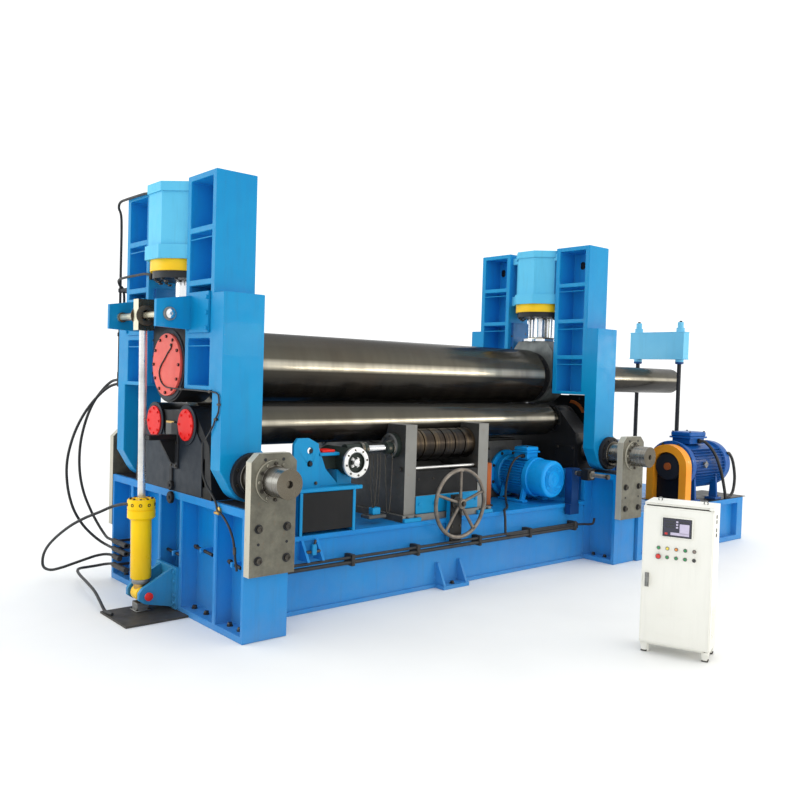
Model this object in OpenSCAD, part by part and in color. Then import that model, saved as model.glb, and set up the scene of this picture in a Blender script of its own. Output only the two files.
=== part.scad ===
// Three-roll plate bending machine, upper roll adjustable, left end tips open.
// X runs along the rolls from the opening end to the drive end, -Y is the operator's side,
// Z is up. The origin is on the floor, midway between the two cross shafts.

/* [Stands] */
// Distance between the two cross shafts, along the rolls
stand_span = 3666; // [3000:10:5000]
// Height of the side stands above the bearing blocks
stand_rise = 845; // [760:5:1000]
// Width of a column along the rolls
column_w = 280; // [260:5:320]
// Half of the window between the two columns of a stand
window_half = 280; // [270:5:300]
// Distance from the middle to a column's outer face
column_out = 650; // [640:5:680]
// Distance from the middle to a leg's outer face
leg_out = 770; // [760:5:800]
// Height from a leg's upper step to the stand's top
leg_step = 740; // [650:10:850]
// Height of a column's lower end above the lower rolls' axes
column_rise = 235; // [200:5:280]
// Distance from a column's end face to the cross shaft's axis
shaft_offset = 210; // [190:5:230]
// Radius of the leg's round foot about the cross shaft
foot_r = 160; // [150:2:164]
// Thickness of the welded plates around the column pockets
column_plate = 45; // [25:5:60]
// Depth of the column pockets
pocket_d = 215; // [150:5:230]
// Thickness of the liner strips in the window
liner_t = 30; // [15:1:40]

/* [Base] */
// Height of the base castings
base_h = 786; // [740:2:790]
// Width of a base casting along the rolls
base_w = 304; // [260:4:340]
// Half of the base castings' length
base_half = 975; // [960:5:1100]
// Thickness of the base castings' ribs
rib_t = 30; // [20:2:50]
// Depth of the pockets on each side of a base casting
base_pocket_d = 118; // [60:2:125]
// Height of the long beam
beam_h = 518; // [440:2:560]
// Half of the long beam's depth
beam_half = 654; // [600:2:700]
// Thickness of the beam's flanges
flange_t = 28; // [16:2:40]

/* [Cross shafts] */
// Height of the cross shafts above the base castings
shaft_rise = 169; // [167:1:190]
// Radius of the cross shafts
shaft_r = 88; // [70:1:100]
// Half of the cross shafts' length
shaft_half = 1200; // [1150:10:1300]
// Thickness of the plates that hold the cross shafts
plate_t = 60; // [40:2:80]
// Width of those plates
plate_w = 310; // [290:2:330]
// Height of the plates' lower edge
plate_bottom = 403; // [300:1:450]

/* [Rolls] */
// Radius of the upper roll
upper_r = 250; // [235:1:252]
// Radius of the two lower rolls
lower_r = 145; // [135:1:147]
// Height of the upper roll's axis above the lower rolls' axes
upper_rise = 385; // [385:1:410]
// Height of the lower rolls' axes above the base castings
lower_rise = 449; // [430:1:450]
// Half of the distance between the lower rolls
lower_half = 235; // [235:1:245]
// Distance from the left shaft's axis to the barrels' left end
barrel_left_gap = 110; // [100:2:140]
// Distance from the barrels' right end to the right shaft's axis
barrel_right_gap = 276; // [260:2:300]
// Radius of the upper roll's right journal
upper_journal_r = 120; // [100:2:130]
// Radius of the upper roll's tail
tail_r = 136; // [122:2:140]
// Distance from the right shaft's axis to the end of the tail
tail_reach = 2234; // [2120:2:2400]
// Radius of the lower rolls' journals
lower_journal_r = 85; // [70:1:95]
// Radius of the bosses around the lower journals
boss_r = 125; // [110:1:128]

/* [Upper bearings] */
// Largest radius of the tapered left journal
taper_big_r = 92; // [80:1:92]
// Radius of the tapered left journal's tip
taper_tip_r = 62; // [50:1:64]
// Radius of the left block's bore, open around the tapered journal
left_bore_r = 98; // [98:1:110]
// Length of a bearing block along the roll
block_w = 220; // [190:2:224]
// Radius of the red end cover
cover_r = 205; // [180:1:215]
// Thickness of the end cover
cover_t = 22; // [12:1:30]
// Height of a block above the upper roll's axis
block_rise = 335; // [310:1:345]

/* [Press cylinders] */
// Width of the eight-sided cylinder housing across its flats
housing_w = 483; // [440:1:520]
// Distance from the stand's top down to the housing's top
housing_drop = 10; // [10:1:90]
// Height of the housing
housing_h = 490; // [450:1:490]
// Height of the gland ring
ring_h = 74; // [50:1:80]
// Height of the dark flange below the ring
gland_h = 46; // [30:1:55]
// Radius of the chrome piston
piston_r = 72; // [55:1:85]
// Radius of the guide rods beside the piston
guide_r = 15; // [10:1:18]

/* [Tipping gear] */
// Distance from the column's face to the arm shaft's axis
arm_reach = 155; // [150:1:165]
// Distance from the stand's top down to the arm shaft
arm_drop = 870; // [865:1:875]
// Half of the distance between the arms
arm_half = 350; // [330:2:400]
// Thickness of an arm
arm_t = 30; // [20:1:40]
// Radius of the arm shaft
arm_shaft_r = 23; // [18:1:26]
// Distance from the column's face to the tipping cylinder's lower pin
pin_reach = 135; // [130:1:140]
// Height of the tipping cylinder's lower pin
pin_z = 125; // [120:1:135]
// Radius of the tipping cylinder's barrel
barrel_r = 66; // [55:1:75]
// Radius of the tipping cylinder's head
head_r = 89; // [80:1:95]
// Radius of the tipping cylinder's rod
rod_r = 25; // [20:1:30]

/* [Support rollers] */
// Length of the support rollers
roller_len = 650; // [500:5:760]
// Radius of the support rollers
roller_r = 118; // [110:1:120]
// Sideways distance from the middle to a support roller's axis
roller_y = 452; // [450:1:460]
// Distance from the lower rolls' axes down to the support rollers' axes
roller_drop = 163; // [161:1:180]
// Thickness of the cheek plates
cheek_t = 110; // [70:2:130]
// Radius of the handwheel
wheel_r = 270; // [220:5:290]

/* [Drive end] */
// Height of the drive's base
drive_base_h = 435; // [380:5:470]
// Radius of the main motor
motor_r = 240; // [200:5:260]
// Height of the main motor's axis above the drive's base
motor_rise = 350; // [330:5:365]
// Length of the main motor's body
motor_len = 670; // [560:10:760]
// Length of the main gearbox
gearbox_len = 620; // [500:10:640]
// Half of the main gearbox's width
gearbox_half = 440; // [400:10:460]
// Length of the gearbox's tall part, around the lower rolls' drive shafts
gearbox_neck = 210; // [180:10:240]
// Length of the drive's base
drive_len = 1916; // [1880:4:2000]
// Sideways distance from the middle to the main motor's axis
motor_y = 740; // [720:5:760]
// Sideways distance from the middle to a balance rod
balance_y = 261; // [260:1:320]
// Height of the balance beam's lower face above the upper roll's axis
balance_rise = 240; // [230:5:260]
// Half of the balance beam's length
balance_half = 335; // [330:5:420]
// Height of the balance beam
balance_h = 302; // [260:2:360]

/* [Control cabinet] */
// Width of the cabinet
cabinet_w = 390; // [360:10:600]
// Depth of the cabinet
cabinet_d = 220; // [180:10:300]
// Height of the cabinet with its feet
cabinet_h = 890; // [850:5:1000]
// Thickness of the cabinet's sheet
cabinet_t = 12; // [4:1:20]

/* [Hidden] */
$fn = 64;

// Colours
paint = [0.16, 0.55, 0.84];
dark = [0.17, 0.18, 0.20];
raw_steel = [0.58, 0.57, 0.53];
roll_steel = [0.36, 0.33, 0.29];
chrome = [0.82, 0.83, 0.85];
red = [0.85, 0.22, 0.18];
yellow = [0.98, 0.80, 0.08];
orange = [0.93, 0.60, 0.12];
white = [0.93, 0.93, 0.90];
rubber = [0.07, 0.07, 0.08];

// Clearances
slide_gap = 0.3;
turn_gap = 0.05;
stop_gap = 6;

// Places derived from the driving sizes
shaft_z = base_h + shaft_rise;
lower_z = base_h + lower_rise;
upper_z = lower_z + upper_rise;
block_top = upper_z + block_rise;
stand_h = block_top + stand_rise;
column_bottom = lower_z + column_rise;
leg_top = stand_h - leg_step;
housing_top = stand_h - housing_drop;
housing_bottom = housing_top - housing_h;
arm_z = stand_h - arm_drop;
shoulder = base_h + 333;
castings_half = column_out - 90;
roller_z = lower_z - roller_drop;
motor_z = drive_base_h + motor_rise;
balance_z = upper_z + balance_rise;
wheel_z = beam_h + 122;
left_x = -stand_span / 2;
right_x = stand_span / 2;
face_x = -shaft_offset;
back_x = column_w - shaft_offset;
column_mid = column_w / 2 - shaft_offset;
barrel_x0 = left_x + barrel_left_gap;
barrel_x1 = right_x - barrel_right_gap;
block_x0 = column_mid - block_w / 2;
block_half = window_half - liner_t - slide_gap;
housing_x0 = -150;
housing_x1 = 60;
slide_t = max(1, shaft_z - foot_r - base_h - 5);
piston_top = housing_bottom + 20;
cheek_in = roller_len / 2 + stop_gap;
cheek_out = cheek_in + cheek_t;
cheek_half = beam_half - 49;
arm_x = left_x + face_x - arm_reach;
pin_x = left_x + face_x - pin_reach;
lean = atan2(pin_x - arm_x, arm_z - pin_z);
reach = norm([pin_x - arm_x, arm_z - pin_z]);
rod_foot = 575;
rod_block_w = 100;
gland_z = housing_bottom - ring_h - gland_h;
drive_x0 = right_x + 170;
drive_x1 = drive_x0 + drive_len;
gearbox_x0 = right_x + 280;
motor_x0 = gearbox_x0 + gearbox_len + 230;
balance_x = drive_x1 - 92;
table_x0 = -1392;
table_z = beam_h + 307;
drum_x = -920;
drum_z = table_z + 157;
drum_r = 95;
aux_x = 1251;
aux_z = beam_h + 217;
cabinet_at = [-60, -2597, 0];
cabinet_turn = -70;
door_t = 22;
door_gap = 6;
leg_rise = 40;
sleeve_x = left_x - base_w / 2 - 24;
sleeve_z = [298, 240, 183, 120];
sleeve_y0 = base_half - 335;
sleeve_y1 = base_half - 105;
hose_r = 10;
HOSE_A = [[-2020, 800.3, 1500], [-2020, 815, 1500], [-2020, 835, 1500], [-2035, 925, 1482], [-2070, 1010, 1412],
    [-2115, 1080, 1300], [-2150, 1130, 1150], [-2170, 1160, 980], [-2165, 1172, 800], [-2135, 1170, 640],
    [-2085, 1155, 500], [-2040, 1125, 395], [-2012, 1070, 325], [-2009, 1010, 301], [-2009, 955, 298],
    [-2009, 900, 298], [-2009, 830, 298], [-2009, 760, 298]];
HOSE_B = [[-2020, 800.3, 1470], [-2020, 815, 1470], [-2020, 835, 1470], [-2060, 915, 1440], [-2130, 980, 1350],
    [-2200, 1035, 1220], [-2255, 1075, 1060], [-2285, 1100, 880], [-2275, 1112, 700], [-2230, 1118, 530],
    [-2160, 1112, 400], [-2085, 1090, 310], [-2030, 1050, 258], [-2009, 1000, 242], [-2009, 950, 240],
    [-2009, 900, 240], [-2009, 830, 240], [-2009, 760, 240]];
HOSE_C = [[-2184, 119.4, 685], [-2184, 135, 685], [-2184, 160, 685], [-2194, 260, 672], [-2220, 400, 636],
    [-2270, 485, 592], [-2330, 600, 538], [-2385, 735, 464], [-2415, 940, 350], [-2420, 1110, 245],
    [-2422, 1180, 160], [-2420, 1165, 98], [-2390, 1100, 84], [-2330, 1045, 104], [-2250, 1020, 130],
    [-2160, 1008, 155], [-2095, 1005, 170], [-2040, 980, 180], [-2012, 935, 183], [-2009, 905, 183],
    [-2009, 888, 183], [-2009, 870.3, 183]];
HOSE_D = [[-2009, 870.3, 120], [-2009, 888, 120], [-2009, 905, 119], [-2014, 945, 112], [-2040, 985, 103],
    [-2085, 1002, 96], [-2150, 1008, 92], [-2215, 990, 94], [-2258, 920, 95], [-2290, 775, 95],
    [-2322, 560, 95], [-2350, 350, 86], [-2375, 190, 62], [-2386, 100, 36], [-2388, 50, 24], [-2384, 5, 22.6],
    [-2378, -35, 22.6]];

// Helpers: extrude a flat outline along X or along Y, and lay cylinders
module along_x(x0, x1) { translate([x0, 0, 0]) rotate([90, 0, 90]) linear_extrude(x1 - x0) children(); }
module along_y(y0, y1) { translate([0, y1, 0]) rotate([90, 0, 0]) linear_extrude(y1 - y0) children(); }
module rod_x(x0, x1, y, z, r) { translate([x0, y, z]) rotate([0, 90, 0]) cylinder(h = x1 - x0, r = r); }
module rod_y(y0, y1, x, z, r) { translate([x, y1, z]) rotate([90, 0, 0]) cylinder(h = y1 - y0, r = r); }
module rod_z(z0, z1, x, y, r) { translate([x, y, z0]) cylinder(h = z1 - z0, r = r); }
module block(a, b) { translate(a) cube(b - a); }
module side(s) { mirror([0, s < 0 ? 1 : 0, 0]) children(); }

// A round tube swept through a list of points
function unit(v) = v / norm(v);
function tangent(p, i) = unit(p[min(i + 1, len(p) - 1)] - p[max(i - 1, 0)]);
function smooth(p, i, t) = let(a = p[max(i - 1, 0)], b = p[i], c = p[i + 1], d = p[min(i + 2, len(p) - 1)])
    0.5 * (2 * b + (c - a) * t + (2 * a - 5 * b + 4 * c - d) * t * t + (3 * b - 3 * c + d - a) * t * t * t);
function fine(p) = concat([for (i = [0:len(p) - 2]) for (k = [0:3]) smooth(p, i, k / 4)], [p[len(p) - 1]]);
function side_of(t, n) = unit(n - (n * t) * t);
function frames(p, i, n) = i == len(p) ? [] : let(m = side_of(tangent(p, i), n)) concat([m], frames(p, i + 1, m));
module hose(points, r) {
    sides = 8;
    p = fine(points);
    t0 = tangent(p, 0);
    n = frames(p, 0, abs(t0[2]) < 0.9 ? [0, 0, 1] : [1, 0, 0]);
    rings = [for (i = [0:len(p) - 1]) let(t = tangent(p, i), b = cross(t, n[i]))
        for (k = [0:sides - 1]) p[i] + r * (n[i] * cos(360 * k / sides) + b * sin(360 * k / sides))];
    last = (len(p) - 1) * sides;
    faces = concat([[for (k = [0:sides - 1]) k]], [[for (k = [sides - 1:-1:0]) last + k]],
        [for (i = [0:len(p) - 2]) for (k = [0:sides - 1]) let(j = (k + 1) % sides)
            [i * sides + k, (i + 1) * sides + k, (i + 1) * sides + j, i * sides + j]]);
    polyhedron(points = rings, faces = faces, convexity = 6);
}

// Base
module long_beam() color(paint) {
    union() {
        union() {
            block([left_x + base_w / 2, -beam_half, beam_h - flange_t], [right_x - base_w / 2, beam_half, beam_h]);
            block([left_x + base_w / 2, -beam_half, 0], [right_x - base_w / 2, beam_half, flange_t]);
            block([left_x + base_w / 2, 16 - beam_half, flange_t - 1], [right_x - base_w / 2, beam_half - 16, beam_h - flange_t + 1]);
        }
    }
    block([-145, -beam_half - 96, 0], [125, -beam_half, flange_t]);
    for (x = [-135, 95]) along_x(x, x + 20) polygon([[16 - beam_half, flange_t], [16 - beam_half, 189], [-beam_half - 8, 189], [-beam_half - 88, flange_t]]);
    for (x = [-1380, -1262]) along_x(x, x + 20) polygon([[16 - beam_half, 362], [16 - beam_half, 491], [-beam_half - 12, 491], [-beam_half - 95, 362]]);
}
module base_casting(x) difference() {
    block([x - base_w / 2, -base_half, 0], [x + base_w / 2, base_half, base_h]);
    for (f = [-1, 1]) for (r = [[-base_half + rib_t, -637], [-607, -175], [-145, 145], [175, 607], [637, base_half - rib_t]])
        block([f < 0 ? x - base_w / 2 - 1 : x + base_w / 2 - base_pocket_d, r[0], rib_t + 10],
            [f < 0 ? x - base_w / 2 + base_pocket_d : x + base_w / 2 + 1, r[1], base_h - rib_t - 20]);
}
module left_base() color(paint) base_casting(left_x);
module right_base() color(paint) base_casting(right_x);
module slide_plates() color(dark) for (x = [left_x, right_x]) for (s = [-1, 1]) side(s)
    block([x - 130, castings_half + 40, base_h], [x + 130, base_half - 5, base_h + slide_t]);
module shaft_plates() color(raw_steel) for (x = [left_x, right_x]) for (s = [-1, 1]) side(s) translate([x, 0, 0]) difference() {
    union() {
        along_y(base_half, base_half + plate_t) polygon([[-plate_w / 2, plate_bottom], [plate_w / 2, plate_bottom],
            [plate_w / 2, shaft_z + 115], [plate_w / 2 - 50, shaft_z + 165], [50 - plate_w / 2, shaft_z + 165], [-plate_w / 2, shaft_z + 115]]);
        rod_y(base_half + plate_t, base_half + plate_t + 14, 0, shaft_z, shaft_r + 38);
        for (i = [-97, 97]) for (z = [plate_bottom + 94, plate_bottom + 280]) rod_y(base_half + plate_t, base_half + plate_t + 12, i, z, 18);
        for (a = [0:60:300]) rod_y(base_half + plate_t + 14, base_half + plate_t + 24, (shaft_r + 19) * sin(a + 30), shaft_z + (shaft_r + 19) * cos(a + 30), 9);
    }
    rod_y(base_half - 1, base_half + plate_t + 15, 0, shaft_z, shaft_r + turn_gap);
}
module cross_shafts() color(chrome) for (x = [left_x, right_x]) difference() {
    rod_y(-shaft_half, shaft_half, x, shaft_z, shaft_r);
    for (s = [-1, 1]) side(s) rod_y(shaft_half - 20, shaft_half + 1, x, shaft_z, 22);
}

// Lower rolls and their housings
module housing_outline() difference() {
    union() {
        polygon([[-castings_half, base_h], [castings_half, base_h], [castings_half, base_h + 64], [castings_half - 40, shoulder], [lower_half + 95, lower_z + 82],
            [-lower_half - 95, lower_z + 82], [40 - castings_half, shoulder], [-castings_half, base_h + 64]]);
        for (s = [-1, 1]) translate([s * lower_half, lower_z]) circle(r = boss_r);
    }
    for (s = [-1, 1]) translate([s * lower_half, lower_z]) circle(r = lower_journal_r + turn_gap);
}
module left_lower_housing() color(dark) difference() {
    along_x(left_x + housing_x0, left_x + housing_x1) housing_outline();
    block([left_x + housing_x0 - 1, -470, base_h + 70], [left_x + housing_x0 + 25, 470, base_h + 250]);
    rod_y(-castings_half - 1, castings_half + 1, left_x, shaft_z, shaft_r + turn_gap);
}
module right_lower_housing() color(dark) difference() {
    along_x(right_x + housing_x0, right_x + housing_x1) housing_outline();
    rod_y(-castings_half - 1, castings_half + 1, right_x, shaft_z, shaft_r + turn_gap);
}
module lower_roll_covers() color(red) {
    for (s = [-1, 1]) rod_x(left_x + housing_x0 - 25, left_x + housing_x0, s * lower_half, lower_z, 102);
    for (s = [-1, 1]) for (a = [0:45:315]) rod_x(left_x + housing_x0 - 33, left_x + housing_x0 - 25,
        s * lower_half + 84 * cos(a), lower_z + 84 * sin(a), 8);
}
module lower_roll(y) union() {
    rod_x(barrel_x0, barrel_x1, y, lower_z, lower_r);
    rod_x(left_x + housing_x0 + 6, barrel_x0, y, lower_z, lower_journal_r);
    rod_x(barrel_x1, right_x + 262, y, lower_z, lower_journal_r);
}
module lower_front_roll() color(roll_steel) lower_roll(-lower_half);
module lower_rear_roll() color(roll_steel) lower_roll(lower_half);

// Stands
module column(x) translate([x, 0, 0]) difference() {
    union() {
        block([face_x, window_half, column_bottom], [back_x, column_out, stand_h]);
        block([face_x + 40, window_half - liner_t, column_bottom + 20], [back_x - 10, window_half, gland_z - 40]);
        along_y(column_out, leg_out) leg_outline();
    }
    for (k = [0:3]) block([face_x - 1, window_half + column_plate, column_bottom + 26 + k * (stand_h - column_bottom - 26) / 4],
        [face_x + pocket_d, column_out - column_plate, column_bottom - 10 + (k + 1) * (stand_h - column_bottom - 26) / 4]);
    rod_y(column_out - 1, leg_out + 1, 0, shaft_z, shaft_r + turn_gap);
}
module leg_outline() let(d = sqrt(shaft_offset * shaft_offset + leg_rise * leg_rise),
    a = atan2(leg_rise, -shaft_offset) + acos(foot_r / d)) {
    polygon([[face_x, leg_top], [face_x, shaft_z + leg_rise], [foot_r * cos(a), shaft_z + foot_r * sin(a)], [0, shaft_z],
        [foot_r * cos(45), shaft_z + foot_r * sin(45)], [back_x, shaft_z + foot_r * sqrt(2) - back_x], [back_x, leg_top]]);
    translate([0, shaft_z]) circle(r = foot_r);
}
module left_front_column() color(paint) side(-1) column(left_x);
module left_rear_column() color(paint) column(left_x);
module right_front_column() color(paint) side(-1) column(right_x);
module right_rear_column() color(paint) column(right_x);
module shaft_collars() color(dark) for (x = [left_x, right_x]) for (s = [-1, 1]) side(s) difference() {
    union() {
        rod_y(leg_out + slide_gap, leg_out + 38, x, shaft_z, 145);
        rod_y(leg_out + 38, leg_out + 55, x, shaft_z, shaft_r + 25);
    }
    rod_y(leg_out - 1, leg_out + 60, x, shaft_z, shaft_r + turn_gap);
}

// Press cylinders
module octagon(w) rotate(22.5) circle(d = w / cos(22.5), $fn = 8);
module cylinder_housing(x) translate([x + column_mid, 0, 0]) difference() {
    union() {
        translate([0, 0, housing_bottom + 60]) linear_extrude(housing_top - housing_bottom - 120) octagon(housing_w - 24);
        translate([0, 0, housing_bottom]) linear_extrude(89) octagon(housing_w + 16);
        translate([0, 0, housing_top - 60]) linear_extrude(60) octagon(housing_w);
        block([-100, -window_half, housing_bottom], [100, window_half, housing_bottom + 89]);
        block([-100, -window_half, housing_top - 90], [100, window_half, housing_top - 30]);
    }
    rod_z(housing_bottom - 1, housing_bottom + 200, 0, 0, piston_r + turn_gap);
    for (s = [-1, 1]) rod_z(housing_bottom - 1, housing_bottom + 200, 0, s * 130, guide_r + turn_gap);
}
module gland(x) translate([x + column_mid, 0, 0]) difference() {
    union() {
        rod_z(housing_bottom - ring_h, housing_bottom, 0, 0, housing_w / 2 - 6);
        rod_z(gland_z, housing_bottom - ring_h, 0, 0, housing_w / 2 - 22);
        for (a = [15:30:345]) rod_z(gland_z - 12, gland_z, 200 * cos(a), 200 * sin(a), 11);
    }
    rod_z(gland_z - 1, housing_bottom + 1, 0, 0, piston_r + turn_gap);
    for (s = [-1, 1]) rod_z(gland_z - 1, housing_bottom + 1, 0, s * 130, guide_r + turn_gap);
}
module piston(x) translate([x + column_mid, 0, 0]) {
    rod_z(block_top, block_top + 22, 0, 0, 165);
    rod_z(block_top + 22, piston_top, 0, 0, piston_r);
    for (s = [-1, 1]) rod_z(block_top + 22, piston_top, 0, s * 130, guide_r);
}
module left_cylinder_housing() color(paint) cylinder_housing(left_x);
module right_cylinder_housing() color(paint) cylinder_housing(right_x);
module left_gland() color(yellow) gland(left_x);
module right_gland() color(yellow) gland(right_x);
module left_piston() color(chrome) piston(left_x);
module right_piston() color(chrome) piston(right_x);

// Upper bearing blocks and the upper roll
module block_outline() union() {
    translate([0, upper_z]) circle(r = block_half);
    polygon([[-block_half, upper_z], [block_half, upper_z], [block_half, block_top - 100], [170, block_top], [-170, block_top], [-block_half, block_top - 100]]);
}
module bearing_block(x, r) difference() {
    along_x(x + block_x0, x + block_x0 + block_w) block_outline();
    rod_x(x + block_x0 - 1, x + block_x0 + block_w + 1, 0, upper_z, r);
}
module left_block() color(raw_steel) bearing_block(left_x, left_bore_r);
module right_block() color(raw_steel) bearing_block(right_x, upper_journal_r + turn_gap);
module left_block_cover() color(red) {
    rod_x(left_x + block_x0 - cover_t, left_x + block_x0, 0, upper_z, cover_r);
    for (a = [0:30:330]) rod_x(left_x + block_x0 - cover_t - 8, left_x + block_x0 - cover_t, (cover_r - 20) * cos(a), upper_z + (cover_r - 20) * sin(a), 8);
}
module upper_roll() color(roll_steel) {
    rod_x(barrel_x0, barrel_x1, 0, upper_z, upper_r);
    translate([left_x + block_x0 + 20, 0, upper_z]) rotate([0, 90, 0])
        cylinder(h = barrel_x0 - left_x - block_x0 - 60, r1 = taper_tip_r, r2 = taper_big_r);
    rod_x(barrel_x0 - 40, barrel_x0, 0, upper_z, 150);
    rod_x(barrel_x1, right_x + block_x0 - stop_gap, 0, upper_z, tail_r + 30);
    rod_x(barrel_x1, right_x + back_x, 0, upper_z, upper_journal_r);
    rod_x(right_x + block_x0 + block_w + stop_gap, right_x + tail_reach, 0, upper_z, tail_r);
}

// Tipping gear on the left stand
module tipping_arms() color(paint) {
    for (s = [-1, 1]) side(s) difference() {
        union() {
            along_y(arm_half, arm_half + arm_t) polygon([[left_x + face_x, arm_z - 90], [left_x + face_x, arm_z + 123],
                [arm_x - 85, arm_z + 85], [arm_x - 85, arm_z - 80]]);
            block([left_x + face_x - 14, window_half + column_plate, arm_z - 110], [left_x + face_x, column_out - column_plate, arm_z + 140]);
        }
        rod_y(arm_half - 1, arm_half + arm_t + 1, arm_x, arm_z, arm_shaft_r - 0.001);
    }
    rod_y(-arm_half - arm_t - 14, arm_half + arm_t + 14, arm_x, arm_z, arm_shaft_r);
}
module frame_pipes() color(rubber) {
    for (i = [0, 1]) {
        rod_z(leg_top - 500, leg_top + 690 - i * 520, left_x + face_x + 9 + i * 28, leg_out + 16, 9);
        rod_y(column_out, leg_out + 16, left_x + face_x + 9 + i * 28, leg_top + 672 - i * 520, 7);
    }
    block([left_x + face_x, leg_out, leg_top - 610], [left_x + face_x + 70, leg_out + 30, leg_top - 500]);
    for (z = [leg_top + 80]) block([left_x + face_x + 2, column_out, z], [left_x + face_x + 62, leg_out + 8, z + 24]);
}
module tipping_bracket() color(paint) {
    block([left_x - base_w / 2 - 20, -150, 18], [left_x - base_w / 2, 150, 293]);
    for (s = [-1, 1]) side(s) along_y(75, 105) polygon([[left_x - base_w / 2 - 20, 30], [left_x - base_w / 2 - 20, 285],
        [pin_x - 30, pin_z + 50], [pin_x - 55, pin_z + 20], [pin_x - 55, pin_z - 25], [pin_x - 20, pin_z - 50]]);
    rod_y(-125, 125, pin_x, pin_z, 20);
}
module tipping_foot() color(dark) {
    block([pin_x - 222, -300, 0], [left_x - base_w / 2, 111, 12]);
    block([pin_x - 38, -38, 12], [pin_x + 38, 38, pin_z - 56]);
}
module tipping_barrel() color(yellow) translate([pin_x, 0, pin_z]) rotate([0, -lean, 0]) difference() {
    union() {
        rod_y(-60, 60, 0, 0, 50);
        rod_z(30, 85, 0, 0, 48);
        rod_z(85, 500, 0, 0, barrel_r);
        rod_z(497, 620, 0, 0, head_r);
        rod_y(head_r - 15, head_r + 30, 0, 560, 16);
    }
    rod_y(-61, 61, 0, 0, 20 + turn_gap);
    rod_z(90, 621, 0, 0, rod_r + turn_gap);
}
module tipping_rod() color(chrome) translate([pin_x, 0, pin_z]) rotate([0, -lean, 0]) difference() {
    union() {
        rod_z(rod_foot, reach - 90, 0, 0, rod_r);
        block([-rod_block_w / 2, -38, reach - 95], [rod_block_w / 2 + 8, 38, reach + 105]);
    }
    block([-arm_shaft_r - stop_gap, -39, reach - arm_shaft_r - stop_gap], [arm_shaft_r + stop_gap + 8, 39, reach + arm_shaft_r + stop_gap + 34]);
}
module hose_sleeves() color(dark) difference() {
    union() for (i = [0:3]) {
        rod_y(i == 2 ? sleeve_y0 + 120 : sleeve_y0, sleeve_y1, sleeve_x, sleeve_z[i], 20);
        for (y = i == 2 ? [sleeve_y1 - 30] : [sleeve_y0 + 10, sleeve_y1 - 30]) block([sleeve_x, y, sleeve_z[i] - 8], [left_x - base_w / 2 + base_pocket_d, y + 20, sleeve_z[i] + 8]);
    }
    for (i = [0, 1]) rod_y(sleeve_y0 - 1, sleeve_y1 + 1, sleeve_x, sleeve_z[i], hose_r + 2);
}
module frame_hose_a() color(rubber) hose(HOSE_A, hose_r);
module frame_hose_b() color(rubber) hose(HOSE_B, hose_r);
module barrel_hose() color(rubber) hose(HOSE_C, hose_r);
module floor_hose() color(rubber) hose(HOSE_D, hose_r);

// Support rollers under the lower rolls
module support_frame() color(raw_steel) {
    block([-cheek_out - 30, -cheek_half - 25, beam_h], [cheek_out + 30, cheek_half + 25, beam_h + 48]);
    for (f = [-1, 1]) difference() {
        block([f < 0 ? -cheek_out : cheek_in, -cheek_half, beam_h + 48], [f < 0 ? -cheek_in : cheek_out, cheek_half, lower_z - 3]);
        for (s = [-1, 1]) {
            rod_x(-cheek_out - 1, cheek_out + 1, s * lower_half, lower_z, lower_r + 20);
            rod_x(-cheek_out - 1, cheek_out + 1, s * roller_y, roller_z, 45 + turn_gap);
        }
    }
    for (s = [-1, 1]) difference() {
        side(s) along_x(-cheek_in, cheek_in) polygon([[150, beam_h + 48], [600, beam_h + 48], [600, beam_h + 190], [150, beam_h + 380]]);
        rod_y(-601, -540, 10, wheel_z, 20 + turn_gap);
    }
}
module support_roller(y) {
    difference() {
        rod_x(-roller_len / 2, roller_len / 2, y, roller_z, roller_r);
        if (y < 0) for (i = [-2:2]) translate([i * roller_len / 6 - 6, y, roller_z]) rotate([0, 90, 0]) difference() {
            cylinder(h = 12, r = roller_r + 1);
            translate([0, 0, -1]) cylinder(h = 14, r = roller_r - 10);
        }
    }
    rod_x(-cheek_out + 10, cheek_out - 10, y, roller_z, 45);
}
module front_support_roller() color(roll_steel) support_roller(-roller_y);
module rear_support_roller() color(roll_steel) support_roller(roller_y);
module handwheel() color(raw_steel) translate([10, -beam_half - 86, wheel_z]) rotate([90, 0, 0]) {
    rotate_extrude() translate([wheel_r - 15, 0]) circle(r = 15, $fn = 16);
    translate([0, 0, -25]) cylinder(h = 50, r = 38);
    for (a = [90:72:378]) rotate([0, 90, a]) cylinder(h = wheel_r - 18, r = 12, $fn = 16);
    translate([0, 0, -185]) cylinder(h = 185, r = 20);
}
module adjuster_table() color(paint) {
    for (x = [table_x0, table_x0 + 442]) block([x, -beam_half, beam_h], [x + 20, -220, table_z]);
    block([table_x0, -beam_half, table_z - 20], [table_x0 + 512, -220, table_z]);
    block([table_x0 + 12, -240, beam_h], [table_x0 + 452, -220, table_z - 15]);
    difference() {
        along_y(-570, -546) polygon([[table_x0, table_z], [table_x0 + 211, table_z], [table_x0 + 202, table_z + 290],
            [table_x0 + 120, table_z + 331], [table_x0 + 30, table_z + 331], [table_x0, table_z + 290]]);
        for (z = [158, 246]) rod_y(-571, -545, table_x0 + 132, table_z + z, 22);
    }
    difference() {
        block([drum_x - 90, -540, table_z], [drum_x + 36, -330, drum_z - 55]);
        rod_y(-541, -329, drum_x, drum_z, drum_r);
    }
    difference() {
        block([-50, -beam_half - 40, beam_h - 188], [70, -beam_half, wheel_z + 60]);
        rod_y(-beam_half - 41, 1 - beam_half, 10, wheel_z, 20 + turn_gap);
    }
}
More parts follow.
